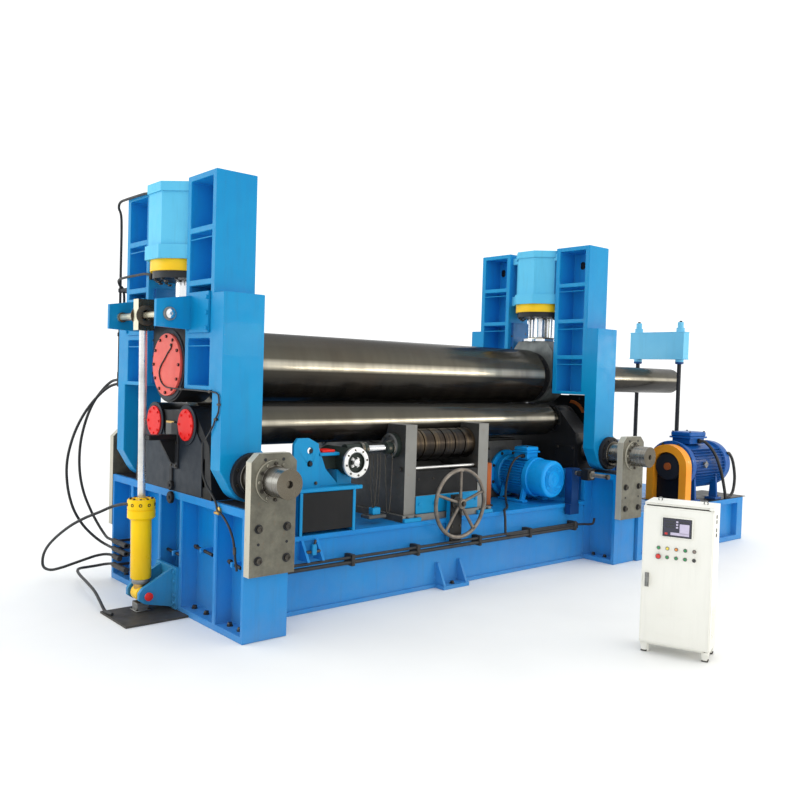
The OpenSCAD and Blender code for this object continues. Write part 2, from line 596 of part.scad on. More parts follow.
module adjuster_drive() color(dark) {
    rod_y(-600, -300, drum_x, drum_z, drum_r);
    difference() {
        rod_y(-640, -600, drum_x, drum_z, drum_r + 11);
        rod_y(-641, -622, drum_x, drum_z, drum_r - 25);
    }
    rod_y(-630, -622, drum_x, drum_z, 34);
    block([table_x0 + 190, -520, table_z + 110], [drum_x - 60, -400, table_z + 200]);
    rod_x(drum_x, -cheek_out - 320, -500, drum_z + 78, 40);
    rod_x(-cheek_out - 320, -cheek_out - 40, -500, drum_z + 78, 24);
    for (x = [-cheek_out - 350, -cheek_out - 110]) rod_x(x, x + 60, -500, drum_z + 78, 44);
    rod_x(-cheek_out - 40, -cheek_out, -roller_y - 20, roller_z, 92);
}
module auxiliary_motor() color(paint) {
    rod_y(-560, -92, aux_x, aux_z, 180);
    rod_y(-640, -560, aux_x, aux_z, 160);
    rod_y(-92, -60, aux_x, aux_z, 212);
    for (i = [-1, 1]) block([aux_x + i * 140 - 32, -500, beam_h], [aux_x + i * 140 + 32, -180, aux_z - 90]);
    block([aux_x - 95, -400, aux_z + 150], [aux_x + 75, -240, aux_z + 262]);
}
module auxiliary_gearbox() color(raw_steel) {
    block([aux_x - 380, -60, beam_h], [aux_x + 230, 420, 1030]);
    block([aux_x - 420, -50, beam_h], [aux_x + 260, 450, beam_h + 60]);
    rod_x(cheek_out, aux_x - 380, 120, 760, 70);
    block([cheek_out + 60, -40, beam_h], [cheek_out + 210, 260, 900]);
}
module beam_conduit() color(rubber) {
    rod_x(-1640, 1500, -beam_half - 56, 312, 14);
    rod_x(-1640, 1500, -beam_half - 56, 345, 10);
    for (x = [-1600, -1000, -400, 250, 850, 1450]) block([x, -beam_half - 72, 290], [x + 24, 16 - beam_half, 362]);
}
module shift_rod() color(chrome) {
    block([right_x - 440, -beam_half - 60, beam_h - 90], [right_x - 320, -beam_half, beam_h]);
    block([right_x - 430, -beam_half - 60, beam_h], [right_x - 330, 14 - beam_half, 830]);
    rod_y(-1030, -beam_half - 59, right_x - 380, 790, 18);
    rod_y(-890, -830, right_x - 380, 790, 34);
}

// Drive end
module drive_base() color(paint) difference() {
    union() {
        block([drive_x0, -base_half - 25, 0], [drive_x1, 520, drive_base_h]);
        block([right_x + base_w / 2, 75 - base_half, 0], [drive_x0 + 1, 480, drive_base_h - 60]);
    }
    for (x = [drive_x0 + 60:450:drive_x1 - 450]) block([x, -base_half - 26, 50], [x + 390, 35 - base_half, drive_base_h - 50]);
    block([drive_x1 - 60, 45 - base_half, 50], [drive_x1 + 1, 450, drive_base_h - 50]);
}
module main_gearbox() color(paint) {
    difference() {
        union() {
            block([gearbox_x0, -gearbox_half, drive_base_h], [gearbox_x0 + gearbox_len, gearbox_half, shaft_z + 45]);
            block([gearbox_x0, -gearbox_half, drive_base_h], [gearbox_x0 + gearbox_neck, gearbox_half, lower_z + 110]);
        }
        for (s = [-1, 1]) rod_x(gearbox_x0 - 1, gearbox_x0 + 50, s * lower_half, lower_z, lower_journal_r + stop_gap);
    }
    block([gearbox_x0 - 30, -gearbox_half - 40, drive_base_h], [gearbox_x0 + gearbox_len + 40, gearbox_half + 40, drive_base_h + 40]);
    block([gearbox_x0 + gearbox_len, -gearbox_half + 20, drive_base_h], [gearbox_x0 + gearbox_len + 80, -gearbox_half + 140, motor_z + 115]);
}
module main_motor() color(paint) {
    rod_x(motor_x0, motor_x0 + motor_len, -motor_y, motor_z, motor_r);
    rod_x(motor_x0 + motor_len, motor_x0 + motor_len + 70, -motor_y, motor_z, motor_r - 20);
    rod_x(motor_x0 - 40, motor_x0, -motor_y, motor_z, motor_r + 10);
    rod_x(motor_x0 - 60, motor_x0 - 40, -motor_y, motor_z, 60);
    block([motor_x0 + 50, 20 - motor_y - motor_r, drive_base_h], [motor_x0 + motor_len - 40, motor_r - motor_y - 20, motor_z - 190]);
    block([motor_x0 + 130, -motor_y - 110, motor_z + motor_r - 20], [motor_x0 + 430, 110 - motor_y, motor_z + motor_r + 90]);
}
module belt_guard() color(orange) difference() {
    along_x(gearbox_x0 + gearbox_len + 70, motor_x0 - 60) {
        translate([-motor_y - 30, motor_z]) circle(r = motor_r - 25);
        polygon([[-motor_y - motor_r - 5, drive_base_h], [motor_r - motor_y - 55, drive_base_h], [motor_r - motor_y - 55, motor_z], [-motor_y - motor_r - 5, motor_z]]);
    }
    block([gearbox_x0 + gearbox_len + 69, -motor_y - motor_r + 40, drive_base_h - 1], [motor_x0 - 80, motor_r - motor_y - 100, motor_z]);
}
module balance_posts() color(dark) for (s = [-1, 1]) {
    rod_z(drive_base_h, balance_z + balance_h + 100, balance_x, s * balance_y, 22);
    rod_z(drive_base_h, drive_base_h + 30, balance_x, s * balance_y, 60);
}
module balance_beam() color(paint) difference() {
    union() {
        block([balance_x - 55, -balance_half, balance_z], [balance_x + 55, balance_half, balance_z + balance_h]);
        for (s = [-1, 1]) rod_z(balance_z - 30, balance_z + balance_h + 40, balance_x, s * balance_y, 44);
    }
    for (s = [-1, 1]) rod_z(balance_z - 31, balance_z + balance_h + 41, balance_x, s * balance_y, 22 + turn_gap);
}

// Control cabinet
module at_cabinet() translate(cabinet_at) rotate([0, 0, cabinet_turn]) children();
module cabinet_body() color(white) at_cabinet() {
    difference() {
        block([-cabinet_w / 2, 0, 50], [cabinet_w / 2, cabinet_d, cabinet_h]);
        block([cabinet_t - cabinet_w / 2, -1, 50 + cabinet_t], [cabinet_w / 2 - cabinet_t, cabinet_d - cabinet_t, cabinet_h - cabinet_t]);
    }
    for (x = [30 - cabinet_w / 2, cabinet_w / 2 - 30]) for (y = [30, cabinet_d - 30]) rod_z(0, 51, x, y, 20);
    for (z = [50, cabinet_h - 12]) block([cabinet_w / 2 - 24, -door_gap - door_t, z], [cabinet_w / 2, 1, z + 12]);
    rod_z(50, cabinet_h - 1, cabinet_w / 2 - 12, -door_gap - door_t / 2, 5);
}
module cabinet_door() color(white) at_cabinet() difference() {
    union() {
        block([-cabinet_w / 2, -door_gap - door_t, 68], [cabinet_w / 2 - 1, -door_gap, cabinet_h - 18]);
        block([-84, -door_gap - door_t - 8, cabinet_h - 186], [84, -door_gap - door_t, cabinet_h - 70]);
        block([25 - cabinet_w / 2, -door_gap - door_t - 14, 400], [45 - cabinet_w / 2, -door_gap - door_t, 480]);
        for (i = [0:4]) for (k = [0, 1]) rod_y(-door_gap - door_t - 12, -door_gap - door_t, i * 50 - 100, cabinet_h - 254 - k * 51, 12);
    }
    rod_z(67, cabinet_h, cabinet_w / 2 - 12, -door_gap - door_t / 2, 5 + turn_gap);
}

long_beam();
left_base();
right_base();
slide_plates();
shaft_plates();
cross_shafts();
left_lower_housing();
right_lower_housing();
lower_roll_covers();
support_frame();
adjuster_table();
adjuster_drive();
auxiliary_motor();
auxiliary_gearbox();
beam_conduit();
shift_rod();
drive_base();
main_gearbox();
main_motor();
belt_guard();
balance_posts();
tipping_bracket();
tipping_foot();
cabinet_body();
hose_sleeves();
barrel_hose();
floor_hose();
right_front_column();
right_rear_column();
right_cylinder_housing();
right_gland();
shaft_collars();
frame_hose_a();
frame_hose_b();
left_front_column();
left_rear_column();
left_cylinder_housing();
left_gland();
tipping_arms();
frame_pipes();
left_block();
left_piston();
left_block_cover();
right_block();
right_piston();
upper_roll();
lower_front_roll();
lower_rear_roll();
front_support_roller();
rear_support_roller();
handwheel();
tipping_barrel();
tipping_rod();
balance_beam();
cabinet_door();
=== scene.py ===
import math

import bpy
import bmesh
from mathutils import Matrix, Vector


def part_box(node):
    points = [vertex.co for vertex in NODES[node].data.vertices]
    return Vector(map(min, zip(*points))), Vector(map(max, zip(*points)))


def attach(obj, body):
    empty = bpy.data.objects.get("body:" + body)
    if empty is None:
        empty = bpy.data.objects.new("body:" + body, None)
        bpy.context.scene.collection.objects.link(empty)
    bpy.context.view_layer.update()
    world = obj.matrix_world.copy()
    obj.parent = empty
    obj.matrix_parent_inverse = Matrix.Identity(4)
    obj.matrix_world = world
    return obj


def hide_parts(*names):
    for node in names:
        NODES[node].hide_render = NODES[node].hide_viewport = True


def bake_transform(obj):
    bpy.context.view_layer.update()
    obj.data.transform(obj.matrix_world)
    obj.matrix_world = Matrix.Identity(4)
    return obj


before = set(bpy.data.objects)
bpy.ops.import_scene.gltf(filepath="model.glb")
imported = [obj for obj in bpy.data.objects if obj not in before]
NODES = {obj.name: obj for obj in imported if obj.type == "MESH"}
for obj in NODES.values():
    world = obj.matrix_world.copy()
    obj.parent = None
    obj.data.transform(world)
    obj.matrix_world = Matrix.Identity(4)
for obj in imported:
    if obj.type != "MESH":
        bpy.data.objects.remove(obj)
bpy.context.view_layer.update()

MM = 0.001
SIDES = (-1, 1)
LEFT, RIGHT = (-1, 0, 0), (1, 0, 0)     # as the photo shows the machine; its front is at -Y
FRONT, REAR = (0, -1, 0), (0, 1, 0)
DOWN, UP = (0, 0, -1), (0, 0, 1)


def turned(radius, count, first=0.0):
    """Points around a circle, as (cosine, sine) pairs times the radius."""
    for i in range(count):
        a = math.radians(first) + 2 * math.pi * i / count
        yield radius * math.cos(a), radius * math.sin(a)


def polar(radius, degrees):
    a = math.radians(degrees)
    return radius * math.cos(a), radius * math.sin(a)


# ---------------------------------------------------------------- camera
PHOTO_PX, FOCAL_PX, SENSOR_MM = 800, 829, 36
EYE = (-4.446, -5.153, 1.597)           # metres
YAW, PITCH, ROLL = (math.radians(a) for a in (49.116, -1.723, 1.729))


def camera():
    fwd = Vector((math.cos(YAW) * math.cos(PITCH), math.sin(YAW) * math.cos(PITCH), math.sin(PITCH)))
    right = Vector((math.sin(YAW), -math.cos(YAW), 0))
    up = right.cross(fwd)
    r = right * math.cos(ROLL) + up * math.sin(ROLL)
    u = up * math.cos(ROLL) - right * math.sin(ROLL)
    cam = bpy.data.cameras.new("camera")
    cam.sensor_width = SENSOR_MM
    cam.lens = FOCAL_PX / PHOTO_PX * SENSOR_MM
    cam.clip_end = 200
    obj = bpy.data.objects.new("camera", cam)
    m = Matrix((r, u, -fwd)).transposed().to_4x4()
    m.translation = Vector(EYE)
    obj.matrix_world = m
    bpy.context.collection.objects.link(obj)
    bpy.context.scene.camera = obj


camera()


# ---------------------------------------------------------------- materials
def lin(r, g, b):
    """An sRGB colour of 0 to 255, as linear RGBA."""
    f = lambda c: c / 12.92 if c <= 0.04045 else ((c + 0.055) / 1.055) ** 2.4
    return (f(r / 255), f(g / 255), f(b / 255), 1.0)


class Mat:
    """A node material under construction."""

    def __init__(self, name):
        self.m = bpy.data.materials.new(name)
        self.m.use_nodes = True
        self.t = self.m.node_tree
        self.t.nodes.clear()
        self.b = self.node("BsdfPrincipled", {})
        self.node("OutputMaterial", {"Surface": self.b.outputs[0]})
        self.co = self.node("TexCoord", {}).outputs["Object"]

    def feed(self, sock, value):
        """Link a socket, or give it a plain value."""
        if hasattr(value, "links"):
            self.t.links.new(value, sock)
        else:
            sock.default_value = value

    def node(self, kind, inputs):
        n = self.t.nodes.new("ShaderNode" + kind)
        for key, value in inputs.items():
            self.feed(n.inputs[key], value)
        return n

    def noise(self, scale, detail=5, rough=0.6, stretch=None):
        at = self.node("Mapping", {"Scale": stretch, "Vector": self.co}).outputs[0] if stretch else self.co
        return self.node("TexNoise", {"Scale": scale, "Detail": detail, "Roughness": rough,
            "Vector": at}).outputs["Fac"]

    def ramp(self, fac, stops):
        n = self.node("ValToRGB", {0: fac})
        e = n.color_ramp.elements
        while len(e) < len(stops):
            e.new(0.5)
        for el, (p, c) in zip(e, stops):
            el.position = p
            el.color = c if isinstance(c, tuple) else (c, c, c, 1)
        return n.outputs[0]

    def patches(self, scale, detail, lo, hi, values=(0.0, 1.0), rough=0.6, stretch=None):
        """Noise that goes from one value to the other between the levels lo and hi."""
        return self.ramp(self.noise(scale, detail, rough, stretch), list(zip((lo, hi), values)))

    def mix(self, fac, a, b):
        n = self.t.nodes.new("ShaderNodeMix")
        n.data_type = "RGBA"
        for key, value in ((0, fac), (6, a), (7, b)):
            self.feed(n.inputs[key], value)
        return n.outputs[2]

    def math(self, op, a, b=0.0, clamp=False):
        n = self.node("Math", {0: a, 1: b})
        n.operation = op
        n.use_clamp = clamp
        return n.outputs[0]

    def part(self, vector, which):
        """The X, Y or Z part of a vector."""
        return self.node("SeparateXYZ", {0: vector}).outputs["XYZ".index(which)]

    def axis(self, which):
        return self.part(self.co, which)

    def normal(self, which):
        return self.part(self.node("NewGeometry", {}).outputs["Normal"], which)

    def step(self, value, lo, hi):
        return self.node("MapRange", {"From Min": lo, "From Max": hi, "Value": value}).outputs[0]

    def corners(self, distance):
        n = self.node("AmbientOcclusion", {"Distance": distance})
        n.samples = 6
        return n.outputs["AO"]

    def share(self, mask, amount, clamp=False):
        return self.math("MULTIPLY", mask, amount, clamp)

    def bump(self, height, strength, distance):
        n = self.node("Bump", {"Strength": strength, "Distance": distance, "Height": height})
        self.feed(self.b.inputs["Normal"], n.outputs[0])

    def finish(self, color, rough, metallic=0.0, coat=0.0):
        for key, value in (("Base Color", color), ("Roughness", rough), ("Metallic", metallic),
                ("Coat Weight", coat)):
            self.feed(self.b.inputs[key], value)
        return self.m


# the dark grime colour also serves as painted shade in corners
DUST, GRIME_AND_SHADE, RUST = lin(150, 140, 122), lin(58, 50, 42), lin(122, 78, 46)


def paint(name, col, deep, wear, rough=0.42, dirt_and_shade=0.55, parts=None):
    """Brushed-on machine enamel: uneven tone, grime streaks, painted shade in corners, dust low down, chips,
    orange peel.
    """
    k = Mat(name)
    c = k.mix(k.patches(1.6, 4, 0.35, 0.7), lin(*col), lin(*deep))
    if parts:
        c = parts(k, c)
    # the dirt amount scales the grime streaks, the dust and the painted shade in corners alike
    streak = k.patches(3.0, 6, 0.52, 0.72, rough=0.65, stretch=(9, 9, 0.7))
    c = k.mix(k.share(streak, 0.22 * dirt_and_shade), c, GRIME_AND_SHADE)
    low = k.step(k.axis("Z"), 0.55, 0.0)
    c = k.mix(k.share(k.share(low, k.noise(7, 6)), 0.6 * dirt_and_shade, True), c, DUST)
    # painted shade: where occlusion finds a corner, the colour is darkened towards the grime colour
    c = k.mix(k.share(k.step(k.corners(0.10), 0.75, 0.25), 0.22 * dirt_and_shade, True), c, GRIME_AND_SHADE)
    c = k.mix(k.share(k.patches(38, 8, 0.70, 0.725, rough=0.75), 0.8), c, lin(*wear))
    r = k.patches(11, 5, 0.3, 0.75, (rough - 0.08, rough + 0.16))
    k.bump(k.math("ADD", k.share(k.noise(160, 3), 0.35), k.noise(9, 3)), 0.22, 0.0016)
    k.b.inputs["Specular IOR Level"].default_value = 0.18
    return k.finish(c, r, coat=0.04)


def steel(name, col, deep, rough, metallic, stretch, rust, parts=None, strength=0.18):
    """Machined or rolled steel: lay lines along the cut, oil stains, a little rust, painted shade in corners.
    """
    k = Mat(name)
    deep = lin(*deep)
    lay = k.noise(1.0, 4, 0.7, stretch)
    c = k.mix(k.ramp(lay, [(0.3, 0.0), (0.7, 1.0)]), lin(*col), deep)
    c = k.mix(k.share(k.patches(2.4, 7, 0.48, 0.68, rough=0.65), 0.45), c,
        tuple(x * 0.45 for x in deep[:3]) + (1.0,))
    if parts:
        c = parts(k, c)
    c = k.mix(k.share(k.patches(26, 8, 0.58, 0.7, rough=0.7), rust), c, RUST)
    # painted shade: where occlusion finds a corner, the colour is darkened towards the grime colour
    c = k.mix(k.share(k.step(k.corners(0.08), 0.7, 0.25), 0.4, True), c, GRIME_AND_SHADE)
    r = k.patches(6, 6, 0.3, 0.75, (rough - 0.1, rough + 0.2), stretch=(1, 1, 1))
    k.bump(lay, strength, 0.0012)
    return k.finish(c, r, metallic)


def facing(which, test, limit, amount, colour):
    """Another colour on the faces that turn towards an axis, or away from it."""
    def parts(k, c):
        mask = k.math(test, k.math("ABSOLUTE", k.normal(which)), limit)
        return k.mix(k.share(mask, amount), c, lin(*colour))
    return parts


def beyond(which, test, limit, colour):
    """Another colour on one side of a plane across an axis, in metres."""
    return lambda k, c: k.mix(k.math(test, k.axis(which), limit), c, lin(*colour))


def pocket_fill_light(k, c):
    """Painted light in the cast pockets: where occlusion finds a recess, the blue is mixed towards a paler
    blue as painted fill light.
    """
    deep = k.step(k.corners(0.5), 0.62, 0.30)
    return k.mix(k.share(deep, 0.7, True), c, lin(40, 150, 226))


LINER_Y = 0.2795                        # metres, just inside the columns' window


def column_parts(k, c):
    """The liners inside the window are bare steel at the front and dark blue at the rear, where the dark blue
    is painted shade.
    """
    y = k.axis("Y")
    # painted shade: inside the window the blue is darkened
    c = k.mix(k.math("LESS_THAN", k.math("ABSOLUTE", y), LINER_Y), c, lin(20, 62, 120))
    front = k.share(k.math("GREATER_THAN", y, -LINER_Y), k.math("LESS_THAN", y, 0.0))
    return pocket_fill_light(k, k.mix(front, c, lin(176, 168, 150)))


def rod_block_parts(k, c):
    """The rod's end block is cream on its left face and oily black elsewhere."""
    side = k.mix(k.math("LESS_THAN", k.normal("X"), -0.7), lin(82, 72, 56), lin(206, 200, 176))
    return k.mix(k.math("GREATER_THAN", k.axis("Z"), 1.8325), c, side)


def roll_steel(name, top, body, deep):
    """Ground rolls, with light painted in by a ramp on the normal: painted shade below, a painted cream
    highlight band at the side, browner above it, fine lay lines around.
    """
    k = Mat(name)
    # painted light: the ramp on the normal's height paints shade on the underside, a cream highlight band
    # just above the side, brown above it and grey on top
    c = k.ramp(k.step(k.normal("Z"), -1.0, 1.0), [(0.0, lin(24, 23, 22)), (0.30, lin(34, 32, 30)),
        (0.46, deep), (0.52, body), (0.57, body), (0.63, top), (1.0, lin(50, 50, 50))])
    c = k.mix(k.share(k.patches(1.0, 3, 0.4, 0.7, stretch=(9, 0.6, 0.6)), 0.35), c, deep)
    c = k.mix(k.share(k.patches(1.8, 6, 0.5, 0.72), 0.25), c, lin(70, 54, 40))
    r = k.patches(3.0, 5, 0.3, 0.75, (0.17, 0.25))
    k.b.inputs["Specular Tint"].default_value = (0.35, 0.34, 0.32, 1.0)
    k.bump(k.noise(1.0, 3, 0.6, (220, 1.0, 1.0)), 0.05, 0.0006)
    return k.finish(c, r, 0.5)


def banded_roll(name):
    """The support roller is brown with worn rings, and painted shade on its underside."""
    k = Mat(name)
    rings = k.noise(1.0, 5, 0.75, (26, 0.9, 0.9))
    c = k.ramp(rings, [(0.30, lin(26, 22, 19)), (0.50, lin(52, 43, 34)), (0.60, lin(92, 78, 58)),
        (0.75, lin(40, 34, 28))])
    # painted shade: faces turned downwards are darkened to near-black
    c = k.mix(k.step(k.normal("Z"), 0.35, -0.6), c, lin(22, 19, 17))
    k.bump(rings, 0.12, 0.001)
    return k.finish(c, k.patches(5, 5, 0.3, 0.75, (0.28, 0.42)), 0.8)


def rubber():
    k = Mat("hose_rubber")
    c = k.mix(k.patches(30, 5, 0.4, 0.7), lin(18, 18, 20), lin(34, 33, 32))
    k.bump(k.noise(140, 4, 0.6, (1, 1, 6)), 0.25, 0.001)
    return k.finish(c, k.patches(20, 4, 0.3, 0.7, (0.45, 0.65)))


def glassy(name, col, deep):
    k = Mat(name)
    c = k.mix(k.patches(12, 3, 0.35, 0.7), lin(*col), lin(*deep))
    k.bump(k.noise(200, 2), 0.04, 0.0005)
    return k.finish(c, k.patches(8, 3, 0.3, 0.7, (0.1, 0.24)), coat=0.4)


BLUE, BLUE_DEEP, WORN = (6, 142, 195), (4, 128, 186), (150, 146, 136)
PAINTS = {                              # look: name, colour, deeper colour, worn colour, other settings
    "blue": ("machine_blue", BLUE, BLUE_DEEP, WORN, {}),
    "blue_column": ("column_blue", BLUE, BLUE_DEEP, WORN, dict(parts=column_parts, rough=0.36)),
    "blue_base": ("base_blue", (3, 132, 202), (2, 118, 192), WORN,
                  dict(dirt_and_shade=0.5, parts=pocket_fill_light, rough=0.36)),
    "blue_light": ("press_blue", (98, 194, 228), (82, 180, 220), WORN, dict(dirt_and_shade=0.45)),
    "blue_dark": ("old_blue", (20, 74, 132), (14, 56, 112), WORN, dict(dirt_and_shade=0.9)),
    "blue_motor": ("motor_blue", (20, 160, 236), (14, 146, 224), WORN, dict(rough=0.32, dirt_and_shade=0.6)),
    "blue_drive": ("drive_motor_blue", (8, 84, 158), (6, 70, 142), WORN, dict(rough=0.36, dirt_and_shade=0.7)),
    "blue_beam": ("balance_blue", (122, 197, 228), (104, 184, 220), WORN, dict(dirt_and_shade=0.4)),
    "dark": ("dark_enamel", (42, 44, 48), (30, 31, 35), (110, 108, 100), dict(rough=0.5, dirt_and_shade=0.5)),
    "black": ("black_enamel", (24, 25, 27), (16, 17, 19), (90, 88, 84), dict(dirt_and_shade=0.35)),
    "slate": ("slate_enamel", (34, 43, 53), (28, 35, 44), (96, 96, 92), dict(dirt_and_shade=0.6)),
    "red": ("red_enamel", (232, 40, 36), (216, 30, 28), (120, 100, 90), dict(rough=0.36, dirt_and_shade=0.2)),
    "pink": ("faded_red", (238, 116, 104), (226, 92, 82), (120, 100, 90), dict(dirt_and_shade=0.35)),
    "yellow": ("yellow_enamel", (252, 210, 10), (242, 190, 6), (120, 110, 80), dict(rough=0.32, dirt_and_shade=0.3)),
    "gland": ("gland_enamel", (250, 208, 40), (238, 186, 24), (120, 110, 80),
              dict(rough=0.34, dirt_and_shade=0.3, parts=beyond("Z", "LESS_THAN", 2.2255, (46, 48, 50)))),
    "orange": ("orange_enamel", (240, 160, 40), (226, 138, 28), (120, 110, 90), dict(rough=0.4, dirt_and_shade=0.35)),
    "brown": ("coupling_brown", (176, 92, 40), (140, 70, 34), (120, 110, 90), dict(rough=0.45, dirt_and_shade=0.6)),
    "white": ("cabinet_white", (236, 235, 227), (230, 229, 220), (150, 148, 140), dict(rough=0.4, dirt_and_shade=0.2)),
    "green": ("drum_green", (44, 54, 48), (30, 38, 36), (120, 122, 112), dict(dirt_and_shade=0.6)),
}
STEELS = {                              # the same, with roughness, metallic, lay and rust before the rest
    "plate": ("worn_plate", (114, 112, 99), (88, 86, 76), 0.46, 0.35, (14, 14, 14), 0.28,
              dict(parts=facing("Y", "LESS_THAN", 0.5, 0.8, (206, 200, 182)), strength=0.3)),
    "cheek": ("cheek_plate", (72, 72, 69), (52, 52, 50), 0.5, 0.3, (30, 5, 5), 0.3,
              dict(parts=facing("X", "LESS_THAN", 0.5, 0.6, (150, 150, 146)), strength=0.3)),
    "block": ("block_grey", (112, 116, 114), (84, 88, 88), 0.42, 0.35, (12, 12, 12), 0.12, {}),
    "grey": ("cast_grey", (92, 93, 92), (68, 69, 69), 0.55, 0.25, (8, 8, 8), 0.12, {}),
    "gearbox": ("gearbox_grey", (100, 100, 97), (74, 74, 72), 0.55, 0.25, (8, 8, 8), 0.12,
                dict(parts=beyond("X", "LESS_THAN", 0.70, (176, 92, 40)))),
    "wheel": ("wheel_iron", (138, 130, 120), (92, 84, 76), 0.38, 0.6, (14, 14, 14), 0.2, {}),
    "grip": ("grip_grey", (150, 150, 146), (120, 120, 118), 0.42, 0.5, (8, 8, 60), 0.10, {}),
    "chrome": ("hard_chrome", (236, 238, 240), (214, 216, 218), 0.14, 1.0, (1, 120, 1), 0.0,
               dict(strength=0.03)),
    "rod": ("bright_rod", (234, 234, 232), (220, 220, 218), 0.30, 0.75, (1, 1, 60), 0.0,
            dict(parts=rod_block_parts, strength=0.01)),
    "shaft": ("turned_shaft", (150, 147, 140), (104, 100, 92), 0.26, 0.9, (2, 90, 2), 0.10,
              dict(parts=facing("Y", "GREATER_THAN", 0.8, 0.7, (80, 72, 56)))),
    "bolt": ("bolt_steel", (88, 84, 78), (56, 54, 50), 0.38, 0.8, (60, 60, 60), 0.2, {}),
    "brown_steel": ("oiled_brown_steel", (86, 76, 60), (60, 53, 44), 0.42, 0.5, (40, 40, 40), 0.15, {}),
    "shift": ("shift_rod_steel", (150, 147, 140), (104, 100, 92), 0.34, 0.5, (2, 60, 2), 0.05,
              dict(parts=beyond("Y", "GREATER_THAN", -0.7145, (22, 66, 120)), strength=0.03)),
    "brass": ("brass", (214, 176, 104), (186, 146, 76), 0.32, 0.9, (40, 40, 40), 0.05, {}),
}
GLASSES = {                             # look: colour, deeper colour
    "screen": ((46, 44, 66), (34, 34, 52)), "b_lilac": ((206, 196, 218), (190, 182, 206)),
    "b_red": ((214, 44, 34), (176, 26, 24)), "b_green": ((50, 156, 92), (30, 120, 64)),
    "b_yellow": ((242, 222, 90), (226, 196, 54)), "b_orange": ((236, 150, 60), (214, 118, 40)),
    "b_dark": ((40, 42, 44), (28, 30, 32)), "b_grey": ((150, 132, 128), (124, 110, 100)),
}
M = {look: make(*row[:-1], **row[-1]) for make, table in ((paint, PAINTS), (steel, STEELS)) for look,
    row in table.items()}
M.update({look: glassy("glass_" + look, *row) for look, row in GLASSES.items()})
M["rubber"] = rubber()
M["roller"] = banded_roll("worn_roller")
# the rolls' colours: brown above the band, the cream painted highlight band, and the darker tone just below
# it
M["roll"] = roll_steel("ground_roll", lin(96, 92, 80), lin(206, 198, 178), lin(62, 59, 53))

CAD_LOOK = {
    "blue": "adjuster_table tipping_arms tipping_bracket",
    "blue_light": "left_cylinder_housing right_cylinder_housing",
    "blue_column": "left_front_column left_rear_column right_front_column right_rear_column",
    "blue_base": "left_base right_base long_beam drive_base",
    "blue_dark": "main_gearbox",
    "blue_beam": "balance_beam",
    "plate": "shaft_plates",
    "cheek": "support_frame",
    "dark": "slide_plates tipping_foot shaft_collars hose_sleeves balance_posts",
    # painted shade: the lower housings and the left block are black, standing in for the shade they lie in
    "black": "left_lower_housing right_lower_housing left_block",
    "green": "adjuster_drive",
    "red": "lower_roll_covers",
    "pink": "left_block_cover",
    "gland": "left_gland right_gland",
    "orange": "belt_guard",
    "white": "cabinet_body cabinet_door",
    "roll": "upper_roll lower_front_roll lower_rear_roll",
    "roller": "front_support_roller rear_support_roller",
    "block": "right_block",
    "gearbox": "auxiliary_gearbox",
    "wheel": "handwheel",
    "chrome": "left_piston right_piston",
    "rod": "tipping_rod",
    "shaft": "cross_shafts",
    "shift": "shift_rod",
    "rubber": "beam_conduit",
}
BEVEL = {                               # width in mm: nodes
    2: "cabinet_body cabinet_door",
    3: "shaft_plates left_block right_block left_block_cover lower_roll_covers belt_guard "
       "tipping_arms tipping_bracket adjuster_table left_gland right_gland tipping_rod",
    4: "long_beam support_frame drive_base left_lower_housing right_lower_housing "
       "left_cylinder_housing right_cylinder_housing balance_beam shaft_collars",
    5: "left_front_column left_rear_column right_front_column right_rear_column left_base right_base",
    6: "main_gearbox auxiliary_gearbox lower_front_roll lower_rear_roll cross_shafts",
    8: "upper_roll",
}
WELD_M = 0.00002
BEVEL_ANGLE, SMOOTH_ANGLE = math.radians(40), math.radians(38)


def bevel(o, width):
    b = o.modifiers.new("edges", "BEVEL")
    b.width = width * MM
    b.segments = 2
    b.limit_method = "ANGLE"
    return b


for look, names in CAD_LOOK.items():
    for name in names.split():
        for slot in NODES[name].material_slots:
            slot.material = M[look]
for width, names in BEVEL.items():
    for name in names.split():
        NODES[name].modifiers.new("weld", "WELD").merge_threshold = WELD_M
        bevel(NODES[name], width).angle_limit = BEVEL_ANGLE


# ---------------------------------------------------------------- mesh helpers, in millimetres
def basis(axis):
    z = Vector(axis).normalized()
    side = z.orthogonal() if abs(z.z) > 0.99 or abs(z.x) > 0.99 else Vector(UP).cross(z)
    x = side.normalized()
    return x, z.cross(x), z


